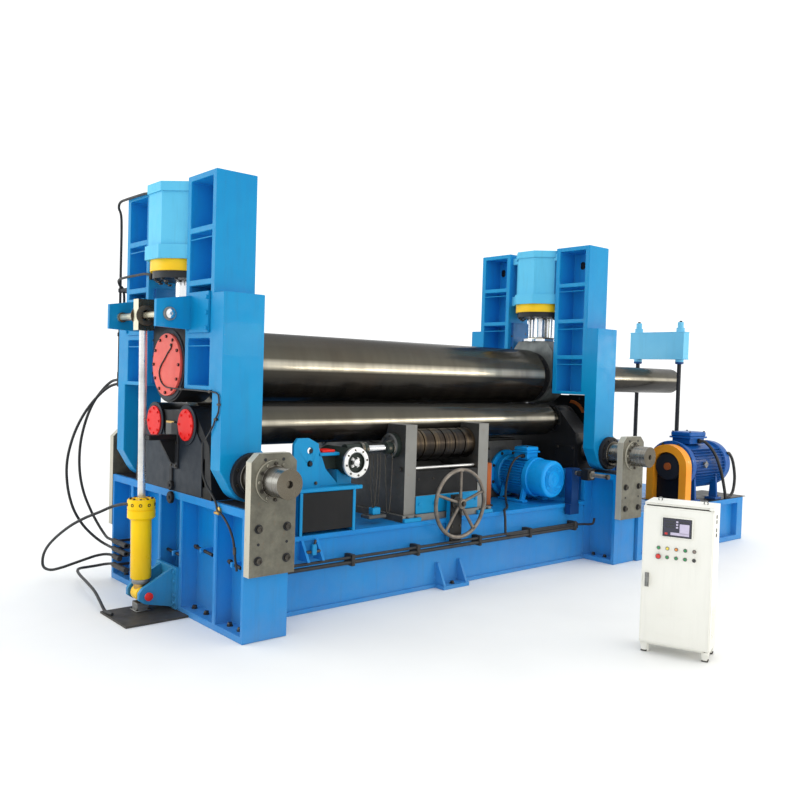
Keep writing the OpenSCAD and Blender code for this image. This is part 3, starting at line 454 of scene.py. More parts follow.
class Piece:
    """One named piece made of several shells, each with its own material."""

    def __init__(self, name, body="base", slot="dark_paint"):
        self.name, self.body, self.slot = name, body, slot
        self.v, self.f, self.k, self.mats = [], [], [], []

    def shell(self, verts, faces, mat):
        if mat not in self.mats:
            self.mats.append(mat)
        n = len(self.v)
        self.v += [tuple(p) for p in verts]
        self.f += [tuple(i + n for i in f) for f in faces]
        self.k += [self.mats.index(mat)] * len(faces)
        return self

    def box(self, a, b, mat, c=3.0):
        """A box with chamfered edges."""
        corners = [(x, y, z) for x in (0, 1) for y in (0, 1) for z in (0, 1)]
        lo, hi = Vector(a), Vector(b)
        c = min([c] + [(hi[i] - lo[i]) * 0.45 for i in range(3)])
        idx, vs = {}, []
        for s in corners:
            for k in range(3):
                p = [(hi if s[i] else lo)[i] + (0 if i == k else (-c if s[i] else c)) for i in range(3)]
                idx[s + (k,)] = len(vs)
                vs.append(Vector(p))
        fs = []
        for k in range(3):
            i, j = [q for q in range(3) if q != k]
            for e in (0, 1):
                ring = []
                for u, w in ((0, 0), (1, 0), (1, 1), (0, 1)):
                    s = [0, 0, 0]
                    s[k], s[i], s[j] = e, u, w
                    ring.append(idx[tuple(s) + (k,)])
                fs.append(ring)
            for u in (0, 1):
                for w in (0, 1):
                    q = []
                    for t, kk in ((0, i), (1, i), (1, j), (0, j)):
                        s = [0, 0, 0]
                        s[k], s[i], s[j] = t, u, w
                        q.append(idx[tuple(s) + (kk,)])
                    fs.append(q)
        for s in corners:
            fs.append([idx[s + (k,)] for k in range(3)])
        return self.shell(vs, fs, mat)

    def lathe(self, at, axis, profile, mat, n=40):
        """A turned shape: profile is (radius, height) pairs; radius 0 closes an end."""
        x, y, z = basis(axis)
        at = Vector(at)
        vs, rings, fs = [], [], []
        for r, h in profile:
            if r <= 1e-6:
                rings.append([len(vs)])
                vs.append(at + z * h)
            else:
                rings.append(list(range(len(vs), len(vs) + n)))
                vs += [at + z * h + (x * c + y * s) * r for c, s in turned(1, n)]
        for a, b in zip(rings, rings[1:]):
            for i in range(n):
                j = (i + 1) % n
                if len(a) == 1 and len(b) > 1:
                    fs.append((a[0], b[i], b[j]))
                elif len(b) == 1 and len(a) > 1:
                    fs.append((a[i], b[0], a[j]))
                elif len(a) > 1:
                    fs.append((a[i], b[i], b[j], a[j]))
        return self.shell(vs, fs, mat)

    def solid(self, at, axis, profile, mat, n=40):
        """A turned shape with flat ends."""
        return self.lathe(at, axis, [(0, profile[0][1])] + profile + [(0, profile[-1][1])], mat, n)

    def rod(self, at, axis, r, h, mat, c=2.0, n=32):
        c = min(c, r * 0.4, h * 0.4)
        return self.solid(at, axis, [(r - c, 0), (r, c), (r, h - c), (r - c, h)], mat, n)

    def ring(self, at, axis, r0, r1, h, mat, c=2.0, n=48):
        c = min(c, (r1 - r0) * 0.4, h * 0.4)
        prof = [(r0, 0), (r1 - c, 0), (r1, c), (r1, h - c), (r1 - c, h), (r0 + c, h), (r0, h - c), (r0, 0)]
        return self.lathe(at, axis, prof, mat, n)

    def hexa(self, at, axis, r, h, mat="bolt"):
        """A hexagon head with a chamfered crown on a washer."""
        self.solid(at, axis, [(r * 1.25, 0), (r * 1.25, h * 0.18)], mat, 20)
        return self.lathe(at, axis, [(0, 0), (r, h * 0.18), (r, h * 0.85), (r * 0.82, h), (0, h)], mat, 6)

    def socket(self, at, axis, r, h, mat="bolt"):
        """A socket head screw."""
        return self.lathe(at, axis, [(0, 0), (r, 0), (r, h * 0.88), (r * 0.9, h), (r * 0.55, h),
            (r * 0.55, h * 0.75), (0, h * 0.7)], mat, 20)

    def tube(self, points, r, mat="rubber", n=12):
        pts = [Vector(p) for p in points]
        vs, fs, prev = [], [], None
        for i, p in enumerate(pts):
            t = (pts[min(i + 1, len(pts) - 1)] - pts[max(i - 1, 0)]).normalized()
            if prev is None:
                prev = t.orthogonal().normalized()
            prev = (prev - t * prev.dot(t)).normalized()
            b = t.cross(prev)
            vs += [p + (prev * c + b * s) * r for c, s in turned(1, n)]
        for i in range(len(pts) - 1):
            for k in range(n):
                j = (k + 1) % n
                fs.append((i * n + k, (i + 1) * n + k, (i + 1) * n + j, i * n + j))
        fs.append(tuple(range(n)))
        fs.append(tuple(range((len(pts) - 1) * n, len(pts) * n)))
        return self.shell(vs, fs, mat)

    def prism(self, outline, axis, lo, hi, mat):
        """A flat outline, pushed along X, Y or Z."""
        k = "XYZ".index(axis)
        i, j = [q for q in range(3) if q != k]
        vs = []
        for h in (lo, hi):
            for p in outline:
                q = [0, 0, 0]
                q[i], q[j], q[k] = p[0], p[1], h
                vs.append(Vector(q))
        n = len(outline)
        fs = [tuple(range(n)), tuple(range(n, 2 * n))]
        fs += [(a, (a + 1) % n, n + (a + 1) % n, n + a) for a in range(n)]
        return self.shell(vs, fs, mat)

    def done(self, width=0.0, replaces=()):
        me = bpy.data.meshes.new(self.name)
        me.from_pydata([(x * MM, y * MM, z * MM) for x, y, z in self.v], [], self.f)
        for m in self.mats:
            me.materials.append(M[m])
        for p, k in zip(me.polygons, self.k):
            p.material_index = k
        bm = bmesh.new()
        bm.from_mesh(me)
        bmesh.ops.recalc_face_normals(bm, faces=bm.faces)
        bm.to_mesh(me)
        bm.free()
        me.polygons.foreach_set("use_smooth", [True] * len(me.polygons))
        me.set_sharp_from_angle(angle=SMOOTH_ANGLE)
        o = bpy.data.objects.new(self.name, me)
        bpy.context.collection.objects.link(o)
        if width:
            bevel(o, width)
        if replaces:
            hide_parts(*replaces)
        if self.body:
            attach(o, self.body)
        return o


def curve_points(p, steps=8):
    """The same smooth line through the given points as the CAD hoses follow."""
    p = [Vector(q) for q in p]
    out = []
    for i in range(len(p) - 1):
        a, b, c, d = p[max(i - 1, 0)], p[i], p[i + 1], p[min(i + 2, len(p) - 1)]
        for s in range(steps):
            t = s / steps
            square, cube = 2 * a - 5 * b + 4 * c - d, 3 * b - 3 * c + d - a
            out.append(0.5 * (2 * b + (c - a) * t + square * t * t + cube * t ** 3))
    return out + [p[-1]]


# ---------------------------------------------------------------- hoses, points in millimetres
HOSES = {
    "frame_hose_a": [
        (-2020, 800.3, 1500), (-2020, 815, 1500), (-2020, 835, 1500), (-2035, 925, 1482),
        (-2070, 1010, 1412), (-2115, 1080, 1300), (-2150, 1130, 1150), (-2170, 1160, 980),
        (-2165, 1172, 800), (-2135, 1170, 640), (-2085, 1155, 500), (-2040, 1125, 395), (-2012, 1070, 325),
        (-2009, 1010, 301), (-2009, 955, 298), (-2009, 900, 298), (-2009, 830, 298), (-2009, 760, 298)],
    "frame_hose_b": [
        (-2020, 800.3, 1470), (-2020, 815, 1470), (-2020, 835, 1470), (-2060, 915, 1440),
        (-2130, 980, 1350), (-2200, 1035, 1220), (-2255, 1075, 1060), (-2285, 1100, 880),
        (-2275, 1112, 700), (-2230, 1118, 530), (-2160, 1112, 400), (-2085, 1090, 310), (-2030, 1050, 258),
        (-2009, 1000, 242), (-2009, 950, 240), (-2009, 900, 240), (-2009, 830, 240), (-2009, 760, 240)],
    "barrel_hose": [
        (-2184, 119.4, 685), (-2184, 135, 685), (-2184, 160, 685), (-2194, 260, 672), (-2220, 400, 636),
        (-2270, 485, 592), (-2330, 600, 538), (-2385, 735, 464), (-2415, 940, 350), (-2420, 1110, 245),
        (-2422, 1180, 160), (-2420, 1165, 98), (-2390, 1100, 84), (-2330, 1045, 104), (-2250, 1020, 130),
        (-2160, 1008, 155), (-2095, 1005, 170), (-2040, 980, 180), (-2012, 935, 183), (-2009, 905, 183),
        (-2009, 888, 183), (-2009, 870.3, 183)],
    "floor_hose": [
        (-2009, 870.3, 120), (-2009, 888, 120), (-2009, 905, 119), (-2014, 945, 112), (-2040, 985, 103),
        (-2085, 1002, 96), (-2150, 1008, 92), (-2215, 990, 94), (-2258, 920, 95), (-2290, 775, 95),
        (-2322, 560, 95), (-2350, 350, 86), (-2375, 190, 62), (-2386, 100, 36), (-2388, 50, 24),
        (-2384, 5, 22.6), (-2378, -35, 22.6)],
}


for name, pts in HOSES.items():
    path = curve_points(pts, 8)
    piece = Piece(name.replace("hose", "rubber_hose"), None, "black_rubber")
    piece.tube(path, 10, n=16)
    obj = piece.done(replaces=(name,))
    if name.startswith("frame"):
        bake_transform(obj)
    elif name == "barrel_hose":
        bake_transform(obj)
    else:
        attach(obj, "base")


# ---------------------------------------------------------------- places, in millimetres
def ends(node):
    lo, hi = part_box(node)
    return Vector(lo) / MM, Vector(hi) / MM


XL, XR = -1833.0, 1833.0                # the two cross shafts
COLUMN_LO, COLUMN_HI = ends("left_front_column")
FACE = COLUMN_LO.x - XL                 # a column's end face, from the cross shaft
COLUMN_MID = FACE + (COLUMN_HI.x - COLUMN_LO.x) / 2 - 20
BASE_LO, BASE_HI = ends("left_base")
BASE_X = BASE_LO.x
SHAFT_Z, LOWER_Z, UPPER_Z = 955.0, 1235.0, 1620.0
LOWER_Y, WINDOW = 235.0, 280.0
BEAM_FRONT, BEAM_TOP = -654.0, ends("long_beam")[1].z
PLATE_FACE, FLANGE_FACE, SHAFT_END = 1035, 1049, 1180   # the shaft plates, along Y
PIN_X, PIN_Z = -2178, 125               # the tipping cylinder's pin
PIPE_X, PIPE_Y = -2034, 786             # the pipes down the left stand
ROLLER_Y, ROLLER_Z = 452, 1072          # the support rollers
CHEEK_IN, CHEEK_MID, CHEEK_OUT = 331, 386, 441          # the cheeks that carry them, along X
TIE_Y, TIE_Z = 560, 902                 # the rods between the cheeks
WHEEL_X, WHEEL_Z = 10, 640              # the handwheel
JOINT_Y, JOINT_Z = -500, 1060           # the adjuster's coupling
SHIFT_X, SHIFT_Z = 1453, 790            # the shift rod
POST_Y = 261                            # the balance posts
MOTOR_Z = 785                           # the main motor
STANDS = (("left", XL, "left_stand"), ("right", XR, "carriage"))


# ---------------------------------------------------------------- stands
def stands():
    for side, x, body in STANDS:
        strip = Piece(side + "_liner_bolts", body)
        for s in SIDES:
            for z in range(1560, 2120, 112):
                strip.socket((x + FACE + 40, s * 265, z), LEFT, 8, 7)
                strip.socket((x + 12, s * 250, z + 30), (0, -s, 0), 9, 0.2)
        strip.done()
        holes = Piece(side + "_lifting_holes", body)
        for y in (-420, 560):
            for dz in (-12, 12):
                holes.solid((x + 5, y, 2655 + dz), LEFT, [(24, 0), (24, 5), (19, 8), (18, 1.5)], "black", 32)
            holes.box((x - 3, y - 18, 2643), (x + 6, y + 18, 2667), "black", 1)
        holes.done()
        welds = Piece(side + "_column_welds", body, "blue_paint")
        for s in SIDES:
            for z in (1740, 2059, 2400):
                welds.tube([(x + FACE + 6, s * (WINDOW + 48), z), (x + FACE + 6, s * 470, z),
                    (x + FACE + 6, s * 602, z)], 4, "blue_column", 8)
            welds.tube([(x + 62, s * 652, 2062), (x - 60, s * 652, 2062), (x + FACE + 10, s * 652, 2062)], 5,
                "blue_column", 8)
        welds.done()
        top = Piece(side + "_press_fittings", body)
        cx = x + COLUMN_MID
        z = ends(side + "_cylinder_housing")[1].z
        top.solid((cx, 0, z), UP, [(120, 0), (120, 4), (112, 6)], "blue_light", 48)
        for u, w in turned(96, 8):
            top.hexa((cx + u, w, z + 1), UP, 9, 8)
        top.rod((cx - 30, -20, z), UP, 16, 9, "black")
        top.done()
        gland = Piece(side + "_gland_bolts", body)
        for u, w in turned(200, 12, 15):
            gland.hexa((cx + u, w, 2168), DOWN, 14, 13)
        gland.ring((cx, 0, 2180), DOWN, 74, 96, 8, "chrome")
        for s in SIDES:
            gland.ring((cx, s * 130, 2180), DOWN, 15.5, 24, 7, "bolt", n=28)
        gland.done()
        collars = Piece(side + "_collar_screws", "carriage")
        for s in SIDES:
            for u, w in turned(122, 8, 22):
                collars.socket((x + u, s * 808, SHAFT_Z + w), (0, s, 0), 9, 8)
            collars.ring((x, s * 825, SHAFT_Z), (0, s, 0), 89, 106, 7, "shaft", n=64)
        collars.done()
        rods = Piece(side + "_piston_collar", "left_bearing" if side == "left" else "right_bearing", "chrome")
        rods.lathe((cx, 0, 1977), UP, [(73, 0), (150, 0), (150, 10), (112, 18), (88, 22),
            (73, 22)], "rod", 56)
        for u, w in turned(132, 8, 22):
            if abs(w) < 118 or abs(u) > 40:
                rods.socket((cx + u, w, 1979), UP, 8, 9)
        for s in SIDES:
            rods.rod((cx, s * 62 * 1.55, 1978), UP, 14, 202, "rod")
        rods.done()


def left_bearing():
    x = XL - 180
    p = Piece("left_cover_screws", "left_bearing")
    for u, w in turned(185, 12):
        p.socket((x - 22, u, UPPER_Z + w), LEFT, 10, 9.5, "black")
    p.ring((x, 0, UPPER_Z), LEFT, 206, 236, 7, "slate", n=72)
    p.done()
    q = Piece("left_cover_oil_line", "left_bearing", "black_rubber")
    line = curve_points([(x - 27, -78, 1748), (x - 27, -76, 1728), (x - 27, -36, 1700), (x - 27, 20, 1652),
        (x - 27, 70, 1610), (x - 27, 92, 1560), (x - 27, 60, 1506), (x - 27, 0, 1476), (x - 27, -70, 1468),
        (x - 27, -168, 1466)], 6)
    q.tube(line, 4.2, n=10)
    q.rod((x - 21, -78, 1748), LEFT, 10, 12, "bolt")
    for k in (2, 4, 6):
        q.box((x - 31, line[k * 6].y - 8, line[k * 6].z - 3),
            (x - 21, line[k * 6].y + 8, line[k * 6].z + 3), "bolt", 1)
    q.done()


def left_stand_lines():
    p = Piece("column_oil_line", "left_stand", "black_rubber")
    x = XL + FACE - 8
    p.tube(curve_points([(x - 4, -190, 1466), (x - 4, -262, 1466), (x - 4, -420, 1466), (x - 4, -600, 1464),
        (x - 2, -690, 1462), (x, -738, 1450), (x, -752, 1420), (x, -750, 1350), (x, -706, 1290),
        (x, -690, 1262), (x - 3, -655, 1220), (x - 3, -606, 1172)], 6), 5, n=10)
    for y, z in ((-262, 1466), (-640, 1463)):
        p.box((x - 8, y - 12, z - 9), (x + 10, y + 12, z + 9), "bolt", 2)
    for z in (1390, 1300):
        p.box((x - 7, -764 if z > 1350 else -736, z - 7),
            (x + 9, -738 if z > 1350 else -704, z + 7), "bolt", 2)
    p.done()
    pipes = Piece("hydraulic_pipes", "left_stand", "black_rubber")
    reach = XL + FACE - 20
    upper = curve_points([(XL - 158, 190, 2764), (XL - 196, 236, 2774), (reach, 310, 2780),
        (reach, 420, 2784), (reach, 640, 2786), (reach, 744, 2780), (reach + 4, 780, 2744),
        (PIPE_X - 2, PIPE_Y, 2660), (PIPE_X, PIPE_Y, 2300), (PIPE_X, PIPE_Y, 1900),
        (PIPE_X, PIPE_Y, 1556)], 6)
    lower = curve_points([(XL - 220, 166, 2206), (XL + FACE - 18, 214, 2222), (reach, 300, 2234),
        (reach, 420, 2234), (reach, 640, 2232), (reach, 744, 2222), (reach + 20, 780, 2190),
        (PIPE_X + 28, PIPE_Y, 2130), (PIPE_X + 28, PIPE_Y, 1850), (PIPE_X + 28, PIPE_Y, 1556)], 6)
    for line in (upper, lower):
        pipes.tube(line, 9, n=14)
    pipes.rod((XL - 150, 180, 2762), (-0.7, 0.7, 0.1), 20, 46, "black")
    pipes.rod((XL - 212, 150, 2206), (-0.8, 0.6, 0), 19, 44, "black")
    pipes.rod((XL - 236, 168, 2206), (-0.8, 0.6, 0), 25, 16, "bolt", n=6)
    pipes.box((XL + FACE, 770, 1450), (XL + FACE + 70, 800, 1560), "black", 5)
    for z, y in ((2140, 650), (1820, 772)):
        pipes.box((XL + FACE + 2, y, z), (XL + FACE + 62, 778, z + 24), "dark", 3)
        pipes.box((XL + FACE - 4, 774, z - 4), (XL + FACE + 66, 799, z + 28), "dark", 5)
    for z in (1500, 1470):
        pipes.rod((-2020, 799, z), REAR, 15, 16, "bolt", n=6)
    pipes.done(replaces=("frame_pipes",))


def tipping_gear():
    x, z = -2198, 1930                  # the shaft between the arms
    p = Piece("arm_shaft_sleeve", "left_stand", "chrome")
    p.lathe((x, -350, z), REAR, [(23, 0), (33, 0), (33, 22), (25, 26), (25, 674), (33, 678), (33, 700),
        (23, 700)], "rod", 40)
    for s in SIDES:
        p.ring((x, s * 380, z), (0, s, 0), 23, 42, 10, "grip", n=40)
        p.solid((x, s * 392, z), (0, s, 0), [(31, 0), (31, 10), (22, 16), (10, 17), (9, 9)], "chrome", 36)
    p.done()
    eye = Piece("rod_eye_rings", "tipping_rod", "chrome")
    for s in SIDES:
        eye.lathe((x, s * 40, z), (0, s, 0), [(34, 0), (64, 0), (66, 2), (66, 6), (62, 9), (34, 9)],
            "brown_steel", 48)
    eye.done()
    q = Piece("arm_foot_bolts", "left_stand", "blue_paint")
    for s in SIDES:
        for y in (340, 590):
            for dz in (-84, 10, 104):
                q.hexa((XL + FACE - 14, s * y, z + dz), LEFT, 13, 12, "blue")
        q.tube([(XL + FACE - 12, s * 346, z + dz) for dz in (-88, 0, 118)], 6, "blue", 8)
    q.done()
    pin = Vector((PIN_X, 0, PIN_Z))
    up = (Vector((x, 0, z)) - pin).normalized()
    b = Piece("tipping_cylinder_body", "tipping_cylinder", "yellow_paint")
    b.lathe(pin - Vector((0, 52, 0)), REAR, [(20.5, 0), (42, 0), (50, 8), (50, 96), (42, 104),
        (20.5, 104)], "yellow", 48)
    b.solid(pin, up, [(44, 34), (46, 52), (46, 70)], "brass", 40)
    b.solid(pin, up, [(54, 66), (57, 72), (57, 92), (54, 98)], "grip", 48)
    b.solid(pin, up, [(60, 96), (66, 104), (66, 486), (60, 490)], "yellow", 56)
    b.lathe(pin, up, [(0, 484), (72, 484), (84, 494), (89, 498), (89, 546), (85, 548), (85, 552), (89, 554),
        (89, 610), (83, 618), (60, 620), (56, 614), (40, 614), (38, 624), (26, 626),
        (25.2, 612)], "yellow", 64)
    side, across, _ = basis(up)
    for u, w in turned(1, 10, 18):
        d = (side * u + across * w).normalized()
        b.socket(pin + up * 584 + d * 83, d, 11, 7.5, "black")
        b.socket(pin + up * 617 + d * 71, up, 8, 7)
    for y, r, h, n in ((74, 17, 24, 6), (96, 13, 23, 32), (119, 15, 46, 32)):
        b.rod(pin + up * 560 + Vector((0, y, 0)), REAR, r, h, "brass", n=n)
    b.done(replaces=("tipping_barrel",))
    w = Piece("tipping_bracket_bolts", "base", "blue_paint")
    for s in SIDES:
        for zz in (58, 112, 204, 262):
            w.hexa((BASE_X - 20, s * 129, zz), LEFT, 13, 12, "blue")
        w.solid((PIN_X, s * 125, PIN_Z), (0, s, 0), [(27, 0), (27, 8), (20, 12)], "red", 32)
        w.tube([(BASE_X - 18, s * 108, 34), (BASE_X - 18, s * 108, 280)], 5, "blue", 8)
    w.done()
    f = Piece("tipping_foot_post", "base", "raw_steel")
    f.box((PIN_X - 40, -40, 12), (PIN_X + 40, 40, 68.5), "grip", 4)
    f.box((PIN_X - 50, -52, 12), (PIN_X + 50, 52, 20), "grip", 3)
    for u, v in ((-1, -1), (-1, 1), (1, -1), (1, 1)):
        f.hexa((PIN_X + u * 40, v * 42, 20), UP, 7, 7)
    f.done()


# ---------------------------------------------------------------- left base and lower housings
def left_end():
    x = XL - 150
    p = Piece("left_housing_plate")
    outline = [(-442, 792), (442, 792), (442, 1114), (262, 1292), (150, 1270), (96, 1150), (-96, 1150),
        (-150, 1270), (-262, 1292), (-442, 1114)]
    p.prism(outline, "X", x - 8, x, "slate")
    p.done(width=3)
    r = Piece("left_boss_rings")
    for s in SIDES:
        r.ring((x - 8, s * LOWER_Y, LOWER_Z), LEFT, 102.5, 130, 9, "slate", n=64)
    r.done()
    k = Piece("left_stop_bracket")
    k.box((-2190, -112, 1130), (x - 8, -42, 1164), "black", 5)
    k.prism([(-2110, 1131), (x - 8, 1131), (x - 8, 962), (-2030, 984)], "Y", -92, -68, "black")
    k.box((x - 22, -128, 940), (x - 8, -30, 1240), "dark", 4)
    k.box((x - 16, -60, 1140), (x - 8, 62, 1246), "grey", 3)
    k.box((x - 17, -56, 1232), (x - 9, 58, 1248), "brass", 2)
    for y, z in ((-112, 1110), (-46, 1110), (-112, 960), (-46, 960)):
        k.hexa((x - 22, y, z), LEFT, 8, 7)
    k.done()
    h = Piece("left_hanging_cam")
    h.prism([(-46, 950), (-16, 950), (-10, 800), (-52, 800)], "X", x - 20, x - 10, "dark")
    for z, rad in ((742, 40), (822, 34)):
        h.solid((x - 8, -32, z), LEFT, [(rad, 0), (rad, 16), (rad - 5, 20), (12, 20), (10, 26)], "black", 40)
    h.done()
    m = Piece("left_base_line", "base", "black_rubber")
    line = curve_points([(-2038, -540, 1150), (-2034, -532, 1060), (-2026, -522, 962), (-2012, -548, 888),
        (-2002, -600, 836), (-2000, -650, 790), (-2000, -676, 746), (-2000, -736, 724), (-2000, -812, 672),
        (-2000, -872, 596), (-2000, -896, 500), (-2000, -920, 424)], 6)
    m.tube(line, 7)
    m.solid((-1984, -672, 742), LEFT, [(26, 0), (26, 12), (20, 16)], "brass", 28)
    m.box((-2010, -700, 722), (-1984, -644, 738), "brass", 3)
    m.rod((-2000, -888, 560), (-0.05, -0.15, -1), 10, 44, "bolt")
    m.done()
    q = Piece("left_pocket_lines", "base", "black_rubber")
    for y0, y1, z in ((-250, -488, 438), (-690, -838, 424), (196, -150, 352)):
        q.tube(curve_points([(-1925, y0, z + 8), (-1925, y0 - 20, z + 6), (-1925, (y0 + y1) / 2, z),
            (-1925, y1 + 20, z - 6), (-1925, y1, z - 8)], 4), 11)
        q.rod((-1925, y0 - 8, z + 8), FRONT, 15, 26, "bolt", n=6)
        q.box((-1950, (y0 + y1) / 2 - 12, z - 16), (-1862, (y0 + y1) / 2 + 12, z + 16), "blue_base", 3)
    q.done()
    w = Piece("base_welds", "base", "blue_paint")
    for bx in (XL, XR):
        for y in (-622, -160, 160, 622):
            for dy in (-18, 18):
                w.tube([(bx - 146, y + dy, z) for z in (44, 400, 732)], 4, "blue_base", 8)
    w.done()
    a = Piece("anchor_bolts")
    for bx in (XL, XR):
        for y in (-840, -720, -420, -260, 260, 420, 720, 840):
            a.hexa((bx - 90, y, 40), UP, 16, 22)
    a.done()


def shaft_plate_details():
    for side, x, _ in STANDS:
        p = Piece(side + "_shaft_plate_bolts")
        for s in SIDES:
            for dx in (-97, 97):
                for z in (497, 683):
                    p.solid((x + dx, s * PLATE_FACE, z), (0, s, 0), [(27, 0), (27, 4), (23, 5)], "dark", 28)
                    p.socket((x + dx, s * (PLATE_FACE + 4), z), (0, s, 0), 20, 16)
                p.solid((x + dx, s * PLATE_FACE, 592), (0, s, 0), [(9, 0), (9, 1.5)], "dark", 20)
            for u, w in turned(107, 6, 30):
                p.socket((x + u, s * FLANGE_FACE, SHAFT_Z + w), (0, s, 0), 10, 11)
            p.ring((x, s * FLANGE_FACE, SHAFT_Z), (0, s, 0), 88.5, 96, 6, "shaft", n=64)
            for dx, dz in ((-62, 128), (62, 128)):
                p.solid((x + dx, s * PLATE_FACE, SHAFT_Z + dz), (0, s, 0), [(10, 0), (10, 1.5)], "dark", 20)
            p.lathe((x, s * SHAFT_END, SHAFT_Z), (0, s, 0),
                [(24, 0), (30, 12), (34, 19.8), (22, 19.8), (18, 6)], "shaft", 32)
            for dx in (-46, 46):
                p.socket((x + dx, s * (SHAFT_END + 14), SHAFT_Z + 30), (0, s, 0), 8, 2, "dark")
        p.done()


# ---------------------------------------------------------------- long beam and what stands on it
def beam_details():
    p = Piece("beam_trim", "base", "blue_paint")
    p.tube([(x, BEAM_FRONT + 6, BEAM_TOP - 31) for x in (BASE_HI.x + 4, 0, XR - 156)], 5, "blue_base", 8)
    for x, low, high in ((-135, 34, 186), (95, 34, 186), (-1380, 366, 486), (-1262, 366, 486)):
        for dx in (-2, 22):
            p.tube([(x + dx, BEAM_FRONT + 14, low), (x + dx, BEAM_FRONT + 12, high)], 4, "blue_base", 8)
    p.hexa((-20, BEAM_FRONT - 54, 28), UP, 17, 20)
    p.done()
    lever = Piece("locking_lever")
    lever.rod((-1366, BEAM_FRONT - 52, 420), RIGHT, 11, 110, "bolt")
    lever.box((-1330, BEAM_FRONT - 72, 398), (-1292, BEAM_FRONT - 36, 470), "blue", 5)
    lever.rod((-1311, BEAM_FRONT - 54, 440), (0.3, 0, 1), 8, 60, "bolt")
    lever.done()
    c = Piece("beam_cable_and_clamps", "base", "black_rubber")
    drop = curve_points([(930, -380, 545), (880, -430, 531), (780, -530, 529), (680, -610, 529),
        (612, -650, 528), (576, -684, 514), (561, -706, 470), (559, -713, 400), (566, -713, 350),
        (610, -712, 335), (760, -711, 332), (1000, -710, 332), (1300, -710, 330), (1480, -710, 332),
        (1580, -722, 330), (1640, -744, 326), (1672, -756, 336), (1682, -760, 380)], 6)
    c.tube(drop, 10)
    for x in (-1600, -1000, -400, 250, 850, 1450):
        c.box((x - 3, BEAM_FRONT - 76, 286), (x + 27, BEAM_FRONT - 2, 366), "dark", 4)
        c.hexa((x + 12, BEAM_FRONT - 76, 306), FRONT, 6, 6)
    c.done()
    s = Piece("shift_rod_collars")
    s.box((1404, -880, 742), (1502, -800, 840), "black", 6)
    s.rod((SHIFT_X, -1030, SHIFT_Z), FRONT, 24, 26, "bolt", n=6)
    s.rod((SHIFT_X, -800, SHIFT_Z), REAR, 26, 60, "dark")
    for dx in (-23, 23):
        s.hexa((SHIFT_X + dx, -880, 812), FRONT, 8, 8)
    s.done()


def support_details():
    for node, y in (("front", -ROLLER_Y), ("rear", ROLLER_Y)):
        p = Piece(node + "_roller_caps")
        for s in SIDES:
            x = s * CHEEK_OUT
            if node == "rear" or s > 0:
                p.solid((x, y, ROLLER_Z), (s, 0, 0),
                    [(78, 0), (78, 10), (70, 16), (50, 18), (46, 26)], "grey", 48)
                for u, w in turned(62, 6):
                    p.hexa((x + s * 14, y + u, ROLLER_Z + w), (s, 0, 0), 8, 9)
            p.ring((s * CHEEK_IN, y, ROLLER_Z), (-s, 0, 0), 45.5, 66, 5, "shaft", n=40)
        p.done()
    q = Piece("cheek_tie_rods", "base", "chrome")
    for s in SIDES:
        q.solid((-CHEEK_IN, s * TIE_Y, TIE_Z), RIGHT, [(12, 0), (12, 662)], "rod", 24)
    for s in SIDES:
        q.hexa((s * CHEEK_OUT, -TIE_Y, TIE_Z), (s, 0, 0), 16, 14)
        q.ring((s * CHEEK_IN, -TIE_Y, TIE_Z), (-s, 0, 0), 12, 22, 8, "bolt", n=24)
    q.done()
    g = Piece("roller_guard_plate")
    g.box((-330, -602, 700), (330, -588, 884), "black", 4)
    g.box((-330, -616, 567), (330, -606, 700), "blue", 4)
    for x in (-300, -150, 150, 300):
        g.hexa((x, -616, 640), FRONT, 10, 9, "blue")
        g.hexa((x, -602, 824), FRONT, 7, 6)
    g.done()
    f = Piece("cheek_foot_plates", "base", "blue_paint")
    for s in SIDES:
        f.box((s * CHEEK_MID - 84, -654, 518), (s * CHEEK_MID + 84, -606, 548), "blue", 4)
        for dx in (-40, 40):
            f.hexa((s * CHEEK_MID + dx, -628, 548), UP, 13, 14)
    f.done()
    h = Piece("handwheel_hub_nut", "handwheel", "raw_steel")
    h.solid((WHEEL_X, -765, WHEEL_Z), FRONT, [(30, 0), (30, 6), (24, 8)], "wheel", 32)
    h.hexa((WHEEL_X, -773, WHEEL_Z), FRONT, 17, 16)
    for u, w in turned(255, 5, 90):
        h.lathe((WHEEL_X + u * 0.96, -740, WHEEL_Z + w * 0.96), (u, 0, w),
            [(0, 0), (19, 0), (17, 12), (0, 14)], "wheel", 20)
    h.done()
    post = Piece("handwheel_post_cover")
    post.box((-54, BEAM_FRONT - 46, 326), (74, BEAM_FRONT - 40, 704), "black", 4)
    post.ring((WHEEL_X, BEAM_FRONT - 46, WHEEL_Z), FRONT, 21, 46, 14, "grey", n=40)
    for z in (356, 460, 560):
        for x in (-34, 54):
            post.hexa((x, BEAM_FRONT - 46, z), FRONT, 8, 8)
    post.done()


